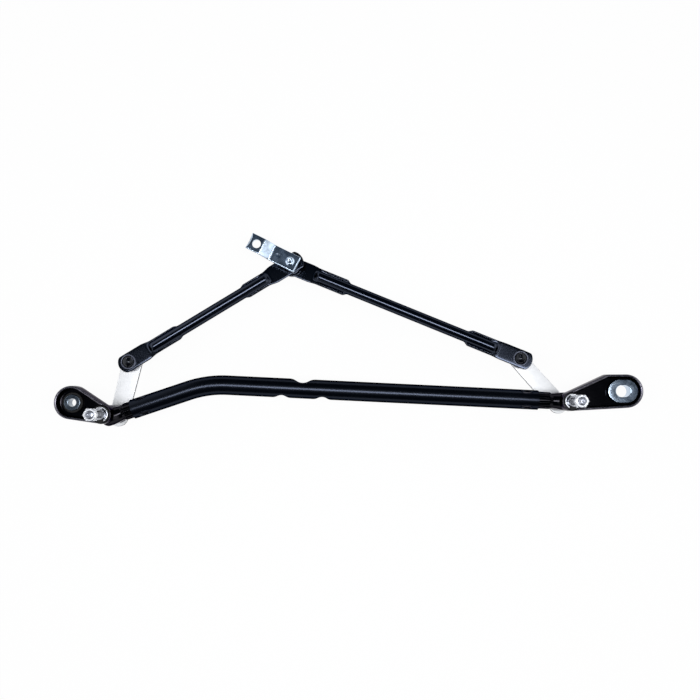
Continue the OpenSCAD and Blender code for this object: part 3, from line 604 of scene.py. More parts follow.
class SocketSizes(bpy.types.PropertyGroup):
    """Sizes of the ball joints."""

    ball: length("Ball", "Radius of the lever balls and of the crank's upper ball", 0.006)
    lower_ball: length("Lower ball", "Radius of the crank's lower ball", 0.0045)
    wall: length("Wall", "Outer radius of a socket", 0.0075)
    cup: length("Cup", "Outer radius of the cup", 0.0089)
    flange: length("Flange", "Flange under a pad, out from the socket", 0.0035)
    snap: length("Snap collar", "Snap collar over a pad, out from the socket", 0.001)
    depth: length("Depth", "Socket below the ball's centre", 0.007)
    top: length("Top", "Snap collar above the ball's centre", 0.004)
    fit: length("Fit", "Radial clearance of a ball in its socket", 0.0001)
    drop: length("Drop", "Lower ball below the upper ball", 0.013)
    neck: length("Neck", "Radius of a ball stud's neck", 0.0037)
    collar: length("Collar", "Radius of a ball stud's collar", 0.007)
    collar_high: length("Collar height", "Height of a ball stud's collar", 0.003)
    mouth: amount("Mouth", "Radius of a socket's mouth, as a share of the ball's", 0.87)


class ShaftSizes(bpy.types.PropertyGroup):
    """Sizes of the pivot shafts and of the nuts."""

    radius: length("Radius", "Radius of a pivot shaft", 0.006)
    foot: length("Foot", "Radius of a shaft's riveted foot", 0.005)
    groove: length("Groove", "Radius at the clip's groove", 0.0048)
    neck: length("Neck", "Plain shaft above the clip", 0.008)
    taper: length("Taper", "Length of the knurled arm seat", 0.015)
    taper_top: length("Taper top", "Radius of the arm seat's top", 0.005)
    thread: length("Thread", "Radius of the thread", 0.004)
    pitch: length("Pitch", "Pitch of the thread", 0.00125)
    knurl: length("Knurl", "Depth of the arm seat's knurling", 0.0003)
    teeth: count("Teeth", "Teeth of the knurling", 48, 12, 90)
    flats: length("Flats", "Half of a nut's size across its flats", 0.0065)
    clip: length("Clip", "Outer radius of a retaining clip", 0.0082)
    clip_ring: length("Clip ring", "Width of a clip's ring between its tabs", 0.0013)
    clip_tab: length("Clip tab", "Half width of a clip's tabs", 0.0017)
    clip_mouth: length("Clip mouth", "Half width of a clip's opening", 0.004)


class CrankSizes(bpy.types.PropertyGroup):
    """Sizes of the crank arm."""

    reach: length("Reach", "Motor hole from the ball stud", 0.0423)
    half: length("Half width", "Half width of the strip", 0.00965)
    thick: length("Half thickness", "Half thickness of the strip", 0.002)
    tail: length("Tail", "Strip beyond the ball stud", 0.0099)
    nose: length("Nose", "Strip beyond the motor hole", 0.0102)
    step_start: length("Step start", "Start of the step, from the ball stud", 0.025)
    step_long: length("Step length", "Length of the step", 0.01)
    rise: length("Rise", "Rise of the step", 0.008)
    hole: length("Hole", "Radius of the motor hole", 0.005)
    hollow: length("Hollow", "Hollow of the motor end", 0.0022)
    mark: length("Mark", "Oval dimple, from the ball stud", 0.0154)
    mark_depth: length("Mark depth", "Depth of the oval dimple", 0.0001)
    mark_long: length("Mark length", "Half length of the oval dimple", 0.00425)
    mark_wide: length("Mark width", "Half width of the oval dimple", 0.0025)
    rivet: length("Rivet", "Radius of the rivet head", 0.0052)


class MountSizes(bpy.types.PropertyGroup):
    """Sizes of the bolt sleeves and grommets."""

    left_hole: length("Left hole", "Radius of the left sleeve's hole", 0.0045)
    right_hole: length("Right hole", "Radius of the right sleeve's slot ends", 0.0066)
    slot: length("Slot", "Half spread of the right sleeve's slot", 0.0015)
    wall: length("Wall", "Wall of a sleeve", 0.002)
    flange: length("Flange", "Thickness of a sleeve's flange", 0.0015)
    left_eye: length("Left eye", "Radius of the left eye's bore", 0.009)
    right_eye: length("Right eye", "Radius of the right eye's bore ends", 0.0111)
    lip: length("Lip", "Thickness of a grommet's lips", 0.004)
    groove: length("Groove", "Depth of a grommet's groove", 0.0024)
    fit: length("Fit", "Radial clearance of a sleeve in its grommet", 0.00005)


class LeverSizes(bpy.types.PropertyGroup):
    """Sizes of the levers."""

    left_end: length("Left end", "Round end of the left lever, from its ball", 0.0116)
    right_end: length("Right end", "Round end of the right lever, from its ball", 0.01)
    tail: length("Tail", "Middle of a lever's round tail, beyond its pivot", 0.004)
    tail_radius: length("Tail radius", "Radius of a lever's tail", 0.011)
    edge: length("Edge", "Radius of a lever's edges", 0.0006)


class FinishTones(bpy.types.PropertyGroup):
    """Colours and gloss of the finishes."""

    paint: tint("Paint", "Stoved paint of the tube and links", (0.02, 0.0235, 0.033))
    paint_rough: amount("Paint roughness", "Roughness of the paint", 0.25)
    casting: tint("Casting", "Coat of the castings", (0.0165, 0.016, 0.019))
    casting_rough: amount("Casting roughness", "Roughness of the castings", 0.13)
    bright: tint("Bright zinc", "Plate of the levers, nuts and clips", (0.62, 0.64, 0.68))
    lever: tint("Lever zinc", "Plate of the levers", (0.82, 0.83, 0.85))
    bright_rough: amount("Bright roughness", "Roughness of the bright plate", 0.32)
    blue: tint("Blue zinc", "Blue plate of the crank and sleeves", (0.52, 0.63, 0.77))
    blue_rough: amount("Blue roughness", "Roughness of the blue plate", 0.15)
    steel: tint("Steel", "Turned steel of the shafts and studs", (0.36, 0.38, 0.44))
    steel_rough: amount("Steel roughness", "Roughness of the turned steel", 0.2)
    plastic: tint("Plastic", "Moulded plastic of the sockets", (0.002, 0.0022, 0.003))
    plastic_rough: amount("Plastic roughness", "Roughness of the plastic", 0.2)
    rubber: tint("Rubber", "Grommets and seals", (0.005, 0.005, 0.0055))
    bronze: tint("Bronze", "Shaft bushes", (0.5, 0.34, 0.16))


class StageSizes(bpy.types.PropertyGroup):
    """Camera, lamp and floor."""

    camera: vector("Camera", "Place of the camera", (0.3087, -0.003, 0.897), subtype="TRANSLATION")
    camera_turn: vector("Camera turn", "Turn of the camera", (0.0695, 0.0015, 0.0007), subtype="EULER")
    lens: number("Lens", "Focal length in millimetres", 40.99, min=10.0)
    lamp_power: number("Lamp", "Power of the long softbox", 9.8, subtype="POWER")
    lamp: vector("Lamp place", "Softbox above the mounts' seat", (0.31, -0.03, 1.25), subtype="TRANSLATION")
    lamp_long: length("Lamp length", "Length of the softbox", 0.98)
    lamp_wide: length("Lamp width", "Width of the softbox", 0.23)
    floor: tint("Floor", "Colour of the floor", (0.9, 0.9, 0.9))
    floor_half: length("Floor size", "Half size of the floor", 9.0)
    floor_gap: length("Floor gap", "Floor below the lowest point", 0.0004)
    floor_glow: amount("Floor glow", "Share of plain white in the floor as it is seen", 0.93)


SETTINGS = {
    "tube": TubeSizes,
    "housing": HousingSizes,
    "link": LinkSizes,
    "socket": SocketSizes,
    "shaft": ShaftSizes,
    "crank": CrankSizes,
    "mount": MountSizes,
    "lever": LeverSizes,
    "finish": FinishTones,
    "stage": StageSizes,
}

FINISHES = {}


def finish_of(context, name):
    """The named finish, made on its first use."""
    tones = context.scene.linkage_finish
    rim_top = context.scene.linkage_housing.rim_top
    bright, blue, sleeve = tones.bright_rough, tones.blue_rough, tones.blue_rough + 0.03
    rows = {
        "tube paint": (black_paint, "tube_paint", tones.paint, tones.paint_rough),
        "link paint": (black_paint, "link_paint", shade(tones.paint, 1.6), tones.paint_rough - 0.1),
        "casting": (cast_black, "cast_black", tones.casting, tones.casting_rough, rim_top),
        "bright zinc": (zinc_plate, "bright_zinc", tones.bright, bright, 0.12, 1.0),
        "lever zinc": (zinc_plate, "lever_zinc", tones.lever, bright + 0.22, 0.05, 0.12, (0.1, 1.0, 1.0)),
        "blue zinc": (zinc_plate, "blue_zinc", tones.blue, blue, 0.45, 1.0),
        "right sleeve": (zinc_plate, "sleeve_zinc", tones.blue, sleeve, 0.5, 1.0),
        # The left sleeve is the same blue zinc as the right, painted darker as shade.
        "left sleeve": (zinc_plate, "dark_zinc", shade(tones.blue, 0.38), sleeve, 0.5, 1.0),
        "steel": (turned_steel, "turned_steel", tones.steel, tones.steel_rough),
        "plastic": (moulded_plastic, "moulded_plastic", tones.plastic, tones.plastic_rough),
        "rubber": (soft_rubber, "soft_rubber", tones.rubber, 0.7),
        "bronze": (sintered_bronze, "sintered_bronze", tones.bronze, 0.42),
    }
    if name not in FINISHES:
        maker, *given = rows[name]
        FINISHES[name] = maker(*given)
    return FINISHES[name]


# Shapes of the pieces

CRIMP_TURNS = np.radians((35.0, 145.0, 215.0, 325.0))
TAB_TURNS = np.radians((90.0, 205.0, 335.0))


def tube_path(sizes):
    """Centre line of the frame tube and its heading: the short run, an arc tangent to both runs, the long
    run."""
    corner = np.array(sizes.corner)
    to_right = PIVOT["right"] - corner
    right_angle = math.atan2(to_right[1], to_right[0])
    turn = sizes.slope - right_angle
    tangent = sizes.bend * math.tan(turn / 2)
    left_way = np.array([math.cos(sizes.slope), math.sin(sizes.slope)])
    right_way = np.array([math.cos(right_angle), math.sin(right_angle)])
    left_end = -((corner - PIVOT["left"]) @ left_way - sizes.left_gap)
    right_end = np.linalg.norm(to_right) - sizes.right_gap
    arc = sizes.bend * turn
    s = np.concatenate(
        [
            np.linspace(left_end, -tangent, 64)[:-1],
            np.linspace(-tangent, -tangent + arc, 40)[:-1],
            np.linspace(-tangent + arc, arc - 2 * tangent + right_end, 300),
        ]
    )
    bent = np.clip((s + tangent) / arc, 0.0, 1.0)
    angle = sizes.slope - turn * bent
    centre = corner - tangent * left_way + sizes.bend * np.array([left_way[1], -left_way[0]])
    on_arc = centre + sizes.bend * np.stack([-np.sin(angle), np.cos(angle)], axis=1)
    before = np.minimum(s + tangent, 0.0)[:, None] * left_way
    after = np.maximum(s + tangent - arc, 0.0)[:, None] * right_way
    from_corner = s + tangent - arc + tangent
    return on_arc + before + after, angle, s - s[0], s[-1] - s, from_corner


def dent_depth(x, depth, radius):
    """Depth of a press dent at a distance along the tube: the die's arc between two shoulder arcs."""
    x = np.abs(x)
    half = math.sqrt((2 * radius) ** 2 - (2 * radius - depth) ** 2)
    die = depth - radius + np.sqrt(np.maximum(radius**2 - x**2, 0.0))
    shoulder = radius - np.sqrt(np.maximum(radius**2 - (half - x) ** 2, 0.0))
    return np.where(x < half / 2, die, np.where(x < half, shoulder, 0.0))


def tube_skin(sizes, inward):
    """The tube's section carried along its centre line. Each dent limits the section's reach to one side, by
    a smooth minimum, and each crimp presses an oval dimple into it."""
    path, heading, from_left, from_right, from_corner = tube_path(sizes)
    a = around(96)
    radius = sizes.radius - inward
    dimple = np.zeros((len(path), a.size))
    for along in (from_left, from_right):
        for turn in CRIMP_TURNS:
            off = turn_from(a, turn) * sizes.radius / sizes.crimp_wide
            oval = np.sqrt(((along[:, None] - sizes.crimp_inset) / sizes.crimp_long) ** 2 + off**2)
            dimple += 1.0 - ease(oval, 0.72, 1.0)
    reach = radius - sizes.crimp_depth * dimple
    side, up = reach * np.cos(a), reach * np.sin(a)
    shallow, deep = (sizes.dent_shallow, sizes.shallow_radius), (sizes.dent_deep, sizes.deep_radius)
    for step, sign, dent in ((-1, -1.0, shallow), (0, 1.0, deep), (1, -1.0, shallow)):
        depth = dent_depth(from_corner - sizes.dent_along - step * sizes.dent_pitch, *dent)[:, None]
        limit, soft = radius - depth, 0.25 * depth
        y = sign * side
        y = np.where(depth > 1e-9, 0.5 * (y + limit - np.sqrt((y - limit) ** 2 + soft**2)), y)
        side = sign * y
    across = np.stack([-np.sin(heading), np.cos(heading)], axis=1)
    plan = path[:, None, :] + side[:, :, None] * across[:, None, :]
    return np.concatenate([plan, (TUBE_Z + up)[:, :, None]], axis=-1)


def tray_skin(sizes, discs):
    """A tray-shaped arm: columns run round the hull of a ring of discs, each at the disc's centre plus its
    radius along the outward direction, and rows follow the wall's outline, inset and height, from the middle
    of the underside over the rim to the middle of the floor."""
    discs = np.asarray(discs)
    a = np.linspace(0.0, 2 * np.pi, 240, endpoint=False)
    out = np.stack([np.cos(a), np.sin(a)], axis=1)
    outer = (out @ discs[:, :2].T + discs[:, 2]).argmax(axis=1)
    rim, lean, low, floor, top = sizes.rim, sizes.draft, sizes.floor_low, sizes.floor_top, sizes.rim_top
    under_in, floor_in, edge = 0.006, 0.0065, 0.0011
    outside = [[under_in, low], [0.0, low], [lean, top]]
    inside = [[lean + rim, top], [2 * lean + rim, floor], [floor_in, floor]]
    wall = rounded(outside + inside, edge, 7)
    reach = np.maximum(discs[outer, 2][None, :] - wall[:, :1], 0.0)
    plan = discs[outer, :2][None] + reach[:, :, None] * out[None]
    centres = [discs[outer, :2]]
    if len(discs) > 2:
        centres.append(np.broadcast_to(discs[:, :2].mean(0), centres[0].shape))
    plan = np.concatenate([np.stack(centres[::-1]), plan, np.stack(centres)])
    height = np.concatenate([np.full(len(centres), low), wall[:, 1], np.full(len(centres), floor)])
    return raised(plan, height)


def neck_skin(sizes, tube, long):
    """A neck along X: an oval section that shrinks from the boss to the tube's bore, with ribs raised round
    it beyond the smooth part by a plateau of the angle from the nearest rib, a start rounded as an ellipse,
    -nose cos t along and sin t across, and a chamfered end."""
    end, chamfer, nose, rows = long + sizes.spigot, 0.001, 0.008, 90
    t = np.linspace(0.0, np.pi / 2, 16)[:-1]
    s = np.concatenate([-nose * np.cos(t), np.linspace(0.0, end - chamfer, rows), [end, end, end]])[:, None]
    closing = np.concatenate([np.sin(t), np.ones(rows), [0.92, 0.5, 0.0]])[:, None]
    a = around(240)
    core = tube.radius - tube.wall - sizes.rib_high
    share = 1.0 - ease(s, 0.2 * sizes.neck, 1.1 * sizes.neck)
    wide = core + (sizes.boss - 0.0006 - core) * share
    high = core + (sizes.root - core) * share
    from_rib = np.abs(turn_from(sizes.ribs * a, 0.0)) / sizes.ribs
    half = sizes.rib_wide / 2 / core
    ribbed = (1.0 - ease(from_rib, 0.7 * half, 1.5 * half)) * ease(s, 1.05 * sizes.neck, 1.3 * sizes.neck)
    y = (wide + sizes.rib_high * ribbed) * np.cos(a) * closing
    z = (high + sizes.rib_high * ribbed) * np.sin(a) * closing
    return carried(s, y, z)


def web_skin(start, end, low, high, half):
    """An upright web along X between two places: a rounded box section whose lower and upper edges each run
    straight between a pair of heights, closed to its middle at each end."""
    rows = 24
    x = np.concatenate([[start], np.linspace(start, end, rows), [end]])[:, None]
    share = (x - start) / (end - start)
    low, high = (pair[0] + (pair[1] - pair[0]) * share for pair in (low, high))
    section = box_section(1.0, 1.0, 0.35, 4, 6)
    closing = np.pad(np.ones(rows), 1)[:, None]
    y = half * section[None, :, 0] * closing
    z = (low + high) / 2 + (high - low) / 2 * section[None, :, 1] * closing
    return carried(x, y, z)


def link_skin(sizes, span, half, lever_end, lever_wing, crank_wing):
    """A pressed link along X. At each place its top is the smooth maximum of a flat plate with rounded edges
    and of a round ridge, with lips along the wings; its underside mirrors that, with a seam along the rolled
    middle."""
    row_gap, lip_in, lip_wide, seam_wide = 0.0008, 0.0014, 0.0009, 0.0006
    tip = np.linspace(0.0, np.pi / 2, 26)
    rows = [
        -lever_end * np.cos(tip)[:-1],
        np.linspace(0.0, span, int(span / row_gap)),
        span + sizes.crank_end * np.sin(tip)[1:],
    ]
    s = np.concatenate(rows)[:, None]
    back = span - s
    past_lever, past_crank = s - sizes.lever_long, back - sizes.crank_long

    def end_width(x, past, pad_half, wing, end):
        """Half width near an end: pad, wing and rod by smooth steps, smoothly kept within the round end."""
        wide = pad_half + (half - pad_half) * ease(past, -0.004, sizes.ramp)
        wide = wide + (sizes.rod - half) * ease(past, wing - sizes.shoulder, wing)
        arc = np.sqrt(np.maximum(end**2 - np.minimum(x, 0.0) ** 2, 1e-12))
        return arc * (1.0 + (arc / wide) ** 18) ** (-1 / 18)

    lever_width = end_width(s, past_lever, sizes.lever_half, lever_wing, lever_end)
    crank_width = end_width(back, past_crank, sizes.crank_half, crank_wing, sizes.crank_end)
    width = np.where(s < span / 2, lever_width, crank_width)
    ridge_share = ease(past_lever, 0.0, sizes.ramp) * ease(past_crank, 0.0, sizes.ramp)
    rolled = ease(past_lever, lever_wing - sizes.shoulder, lever_wing)
    rolled = rolled * ease(past_crank, crank_wing - sizes.shoulder, crank_wing)
    lipped = (1.0 - rolled) * ease(past_lever, 0.003, 0.02) * ease(past_crank, 0.003, 0.02)
    thick = (sizes.pad + (sizes.wing - sizes.pad) * ridge_share) * (1.0 - 0.95 * rolled)
    a = around(128)
    y = width * np.cos(a)
    plate = thick * (1.0 - np.abs(np.cos(a)) ** 9) ** (1 / 9)
    ridge = ridge_share * np.sqrt(np.maximum(sizes.rod**2 - y**2, 0.0))
    top = (plate**7 + ridge**7) ** (1 / 7)
    top = top + sizes.lip * np.exp(-(((width - np.abs(y) - lip_in) / lip_wide) ** 2)) * lipped
    seam = sizes.seam * np.exp(-((y / seam_wide) ** 2)) * rolled
    return carried(s, y, np.where(np.sin(a) > 0, top, seam - top))


def plate_skin(start, end, start_r, end_r, low, high, edge):
    """A flat bar with round ends: rows run from the underside's middle line out over the rounded edge and
    back to the top's middle line, and columns follow the outline of the two end discs and their tangents."""
    run = end - start
    heading, lean = math.atan2(run[1], run[0]), math.acos((start_r - end_r) / np.linalg.norm(run))
    arc, flat = 40, 24
    share = np.linspace(0.0, 1.0, flat + 2)[1:-1]
    outline = [
        np.linspace(heading + lean, heading + 2 * np.pi - lean, arc),
        np.full(flat, heading - lean),
        np.linspace(heading - lean, heading + lean, arc),
        np.full(flat, heading + lean),
    ]
    normal = np.concatenate(outline)
    along = np.concatenate([np.zeros(arc), share, np.ones(arc), share[::-1]])
    axis = start + along[:, None] * run
    radius = start_r + along * (end_r - start_r)
    out = np.stack([np.cos(normal), np.sin(normal)], axis=1)
    t = np.linspace(-np.pi / 2, np.pi / 2, 13)
    inset = np.pad(edge * (1 - np.cos(t)), 1, constant_values=np.inf)
    bend = np.where(t < 0, low + edge * (1 + np.sin(t)), high - edge * (1 - np.sin(t)))
    reach = np.maximum(radius[None, :] - inset[:, None], 0.0)
    return raised(axis[None] + reach[:, :, None] * out[None], np.concatenate([[low], bend, [high]]))


def shaft_skin(sizes, pivot):
    """A pivot shaft in one turned grid: the plain body, the knurled taper whose radius dips in a triangle
    wave round the axis, the thread whose radius dips in a triangle wave along a helix, and the chamfered
    tip."""
    low, high = heights("left_lever")
    clip_low, clip_high = heights("left_retaining_clip")
    bottom, tip = heights("left_pivot_shaft")
    taper_low = clip_high + sizes.neck
    taper_high = taper_low + sizes.taper
    r, t, thread_depth = sizes.radius, sizes.thread, 0.0006
    foot = [[0.0, bottom + 0.0003], [0.0015, bottom], [r - 0.0012, bottom], [r, low]]
    seat = [[sizes.foot, low], [sizes.foot, high], [r, high], [r, clip_low]]
    groove = [[sizes.groove, clip_low], [sizes.groove, clip_high], [r, clip_high], [r, taper_low]]
    body = rounded(foot + seat + groove, 0.00025, 4)
    count = sizes.teeth * 4
    turns = np.arange(count)[None, :] / count
    share = np.linspace(0.0, 1.0, 26)[:, None]
    wave = np.abs(((turns * sizes.teeth) % 1.0) - 0.5) * 2
    fade = ease(share, 0.0, 0.06) * (1 - ease(share, 0.94, 1.0))
    taper_r = r + (sizes.taper_top - r) * share - sizes.knurl * wave * fade
    taper_z = taper_low + (taper_high - taper_low) * share
    thread_z = np.linspace(taper_high, tip - 0.0013, 130)[:, None]
    phase = np.abs(((thread_z / sizes.pitch - turns) % 1.0) - 0.5) * 2
    fade = ease(thread_z, taper_high + 0.0006, taper_high + 0.0016)
    thread_r = t - thread_depth * np.clip(phase * 1.15 - 0.08, 0.0, 1.0) * fade
    chamfer = [[t - 0.0007, tip - 0.0012], [t - 0.001, tip - 0.0004], [t - 0.0014, tip]]
    end = rounded(chamfer + [[0.0008, tip], [0.0, tip - 0.0004]], 0.0002)
    rows = [(body[:, :1], body[:, 1:]), (taper_r, taper_z), (thread_r, thread_z), (end[:, :1], end[:, 1:])]
    return polar(pivot, rows, 2 * np.pi * turns)


def clip_skin(sizes, low, high, pivot):
    """A spring clip: a rounded box section carried round an open ring. Its inner edge reaches into the
    shaft's groove at three tabs, by a plateau of the angle from each tab's middle, and both ends close to
    the section's middle."""
    mouth = math.asin(sizes.clip_mouth / sizes.clip)
    steps, soft, fit = 220, 0.0003, 0.0001
    a = np.linspace(mouth, 2 * np.pi - mouth, steps) - np.pi / 2
    off = np.abs(turn_from(a[:, None], TAB_TURNS)).min(axis=1) * sizes.radius
    tab = 1.0 - ease(off, sizes.clip_tab - soft, sizes.clip_tab + soft)
    ring = sizes.clip_ring + (sizes.clip - sizes.groove - fit - sizes.clip_ring) * tab
    a, ring = (np.pad(values, 1, mode="edge")[:, None] for values in (a, ring))
    closing = np.pad(np.ones(steps), 1)[:, None, None]
    section = box_section(1.0, 1.0, 0.4, 5, 6)[None] * closing
    r = sizes.clip - ring / 2 + ring / 2 * section[..., 0]
    z = (low + high) / 2 + (high - low) / 2 * section[..., 1]
    return polar(pivot, [(r, z)], a)


def nut_skin(half, bore, low, high, pivot):
    """A hexagon nut: r = half / cos of the angle from the nearest flat's middle, cut by a chamfer cone at
    each end, so that the flats end in arcs; the rows close through the bore."""
    a = np.arange(144)[None, :] * 2 * np.pi / 144
    hexagon = half / np.cos((a % (np.pi / 3)) - np.pi / 6)
    crown, soft, under, over = half * 0.985, 0.00012, 0.0005, 0.0006
    drop = (hexagon - crown) * math.tan(math.radians(30.0))
    rows = [
        (bore, low + under),
        (bore + under, low),
        (crown, low),
        (hexagon - soft, low + drop - soft),
        (hexagon, low + drop + soft),
        (hexagon, high - drop - soft),
        (hexagon - soft, high - drop + soft),
        (crown, high),
        (bore + over, high),
        (bore, high - over),
        (bore, low + under),
    ]
    return polar(pivot, rows, a)


def link_axes(side, sizes):
    """A link's own frame: its lever ball, and X to the ball that it shares with the crank."""
    drop = sizes.drop if side == "right" else 0.0
    far = STUD - np.array([0.0, 0.0, drop])
    run = far - BALL[side]
    span = np.linalg.norm(run)
    ex = run / span
    ey = np.array([-ex[1], ex[0], 0.0]) / math.hypot(ex[0], ex[1])
    return BALL[side], np.stack([ex, ey, np.cross(ex, ey)]), span


def cut_angle(radius, ball):
    """Polar angle, in degrees, at which a ball's outline has a smaller radius."""
    return math.degrees(math.asin(radius / ball))


def socket_skirt(sizes, pad, start, finish):
    """Outside of a socket: its mouth, the flange under the pad, the waist in the pad's hole and the snap
    collar over it, between a given start and finish."""
    r, low, mouth = sizes.wall, -sizes.depth, sizes.ball * sizes.mouth
    brim, collar = r + sizes.flange, r + sizes.snap
    under = [[mouth, low], [brim, low], [brim, -pad], [r, -pad]]
    over = [[r, pad], [collar, pad], [collar, sizes.top]]
    return rounded([start, *under, *over, *finish], 0.0004, 4)


def domed_socket(sizes, pad):
    """Turned outline of a closed socket: flange under the pad, snap collar and moat over it, and the dome."""
    inner, moat, moat_depth = sizes.ball + sizes.fit, 0.0004, 0.0008
    dome_start = 90 + cut_angle(sizes.top - moat_depth, sizes.wall)
    dome = ball_arc(sizes.wall, 0.0, dome_start, 180, 30)
    cave = ball_arc(inner, 0.0, 180, cut_angle(sizes.ball * sizes.mouth, inner), 40)
    skirt = socket_skirt(sizes, pad, cave[-1], [[dome[0, 0] + moat, sizes.top], dome[0]])
    return np.concatenate([cave, skirt, dome])


def ring_socket(sizes, pad):
    """Turned outline of the socket that the crank's stud passes through."""
    inner, mouth = sizes.ball + sizes.fit, sizes.ball * sizes.mouth
    lean = cut_angle(mouth, inner)
    cave = ball_arc(inner, 0.0, 180 - lean, lean, 30)
    return np.concatenate([cave, socket_skirt(sizes, pad, cave[-1], [[mouth, sizes.top], cave[0]])])


def cup_outline(sizes, pad):
    """Turned outline of the cup under the lower ball, with free room around the ball."""
    r, top, low, wall = sizes.cup, sizes.top, -sizes.depth, 0.0014
    room, brim, collar = r - wall, r + sizes.flange, r + sizes.snap
    cave = ball_arc(room, 0.0, 0, 90, 30)
    over = [cave[-1], [room, top], [collar, top], [collar, pad], [r, pad]]
    under = [[r, -pad], [brim, -pad], [brim, low], [r, low], [r, -r], [0.0, -r]]
    return np.concatenate([cave, rounded(over + under, 0.0005, 4)])


def crank_skin(sizes, low):
    """The crank's strip along X: a rounded box section carried along a stepped line whose corners are eased
    by a running mean, its motor end hollowed by a parabola, with an oval dimple pressed into its top."""
    nose, step_end = sizes.reach + sizes.nose, sizes.step_start + sizes.step_long
    soft, blunt, caps = 0.0009, 0.0018, 5
    lower_bend, upper_bend = 0.0036, 0.0016
    x = np.linspace(-sizes.tail, nose, 210)
    bend = lower_bend + (upper_bend - lower_bend) * ease(x, sizes.step_start, step_end)
    spread = np.linspace(-1.0, 1.0, 25)[:, None] * bend
    line = np.clip((x + spread - sizes.step_start) / sizes.step_long, 0.0, 1.0).mean(0) * sizes.rise
    slope = np.gradient(line, x)
    cap, flat = np.linspace(0.0, np.pi / 2, caps + 1)[1:], np.zeros(len(x))
    shrink = np.concatenate([blunt * (1 - np.cos(cap))[::-1], flat, soft * (1 - np.cos(cap))])[:, None]
    ahead = np.concatenate([-blunt * np.sin(cap)[::-1], flat, soft * np.sin(cap)])
    x = np.clip(x, -sizes.tail + blunt, nose - soft)
    x, line, slope = (np.pad(values, caps, mode="edge")[:, None] for values in (x, line, slope))
    section = box_section(sizes.half, sizes.thick, soft, 56, 6)
    y, o = section[None, :, 0], section[None, :, 1]
    y, o = (values - np.sign(values) * np.minimum(shrink, np.abs(values)) for values in (y, o))
    lean = np.arctan(slope)
    px = x + ahead[:, None] - np.sin(lean) * o
    oval = np.sqrt(((px - sizes.mark) / sizes.mark_long) ** 2 + (y / sizes.mark_wide) ** 2)
    o = o - np.where(o > 0, sizes.mark_depth * (1 - ease(oval, 0.35, 1.0)), 0.0)
    pz = low + sizes.thick + line + np.cos(lean) * o
    px = px - sizes.hollow * (1 - (y / sizes.half) ** 2) * ease(px, sizes.reach, nose)
    grid = np.stack([px, y, pz], axis=-1)
    first, last = (np.broadcast_to(row.mean(0), (1, *row.shape)) for row in (grid[0], grid[-1]))
    return np.concatenate([first, grid, last]), True


def stud_outline(sizes, crank, crank_low):
    """Turned outline of the crank's double ball stud, from the lower ball to the rivet head with its
    dimple."""
    upper, lower, collar_low = STUD[2], STUD[2] - sizes.drop, crank_low - sizes.collar_high
    thin, neck, collar, rivet = 0.0028, sizes.neck, sizes.collar, crank.rivet
    top = crank_low + 2 * crank.thick
    head_top = top + 0.0016
    lower_ball = ball_arc(sizes.lower_ball, lower, 0, 180 - cut_angle(thin, sizes.lower_ball))
    upper_ball = ball_arc(sizes.ball, upper, cut_angle(thin, sizes.ball), 180 - cut_angle(neck, sizes.ball))
    stem = [upper_ball[-1], [neck, collar_low], [collar, collar_low], [collar, crank_low], [neck, crank_low]]
    head = [[neck, top], [rivet, top], [rivet, top + 0.0002], [rivet - 0.0018, head_top]]
    dimple = [[0.0026, head_top], [0.0015, top + 0.0006], [0.0, top + 0.0008]]
    return np.concatenate([lower_ball, upper_ball, rounded(stem + head + dimple, 0.0004, 5)])


def lever_stud_outline(sizes, low, high, height):
    """Turned outline of a lever's ball stud: peened foot, collar, neck and ball."""
    neck, collar, collar_top, peen = sizes.neck, sizes.collar, high + sizes.collar_high, 0.0012
    ball = ball_arc(sizes.ball, height, cut_angle(neck, sizes.ball), 180)
    foot = [[0.0, low - 0.0009], [peen, low - peen], [neck, low - peen], [neck + peen, low], [neck, low]]
    stem = [[neck, high], [collar, high], [collar, collar_top], [neck, collar_top], ball[0]]
    return np.concatenate([rounded(foot + stem, 0.0004, 4), ball])


# Operators


class LINKAGE_OT_frame_tube(bpy.types.Operator):
    """Builds the bent, dented and crimped frame tube"""

    bl_idname = "linkage.frame_tube"
    bl_label = "Frame tube"

    def execute(self, context):
        sizes = context.scene.linkage_tube
        outer, inner = tube_skin(sizes, 0.0), tube_skin(sizes, sizes.wall)
        rim = np.stack([outer[0], inner[0]]), np.stack([outer[-1], inner[-1]])
        grids = [(outer, True), (inner, True), (rim[0], True), (rim[1], True)]
        paint = finish_of(context, "tube paint")
        piece("frame_tube_skin", grids, "frame", paint, ["frame_tube"])
        return {"FINISHED"}


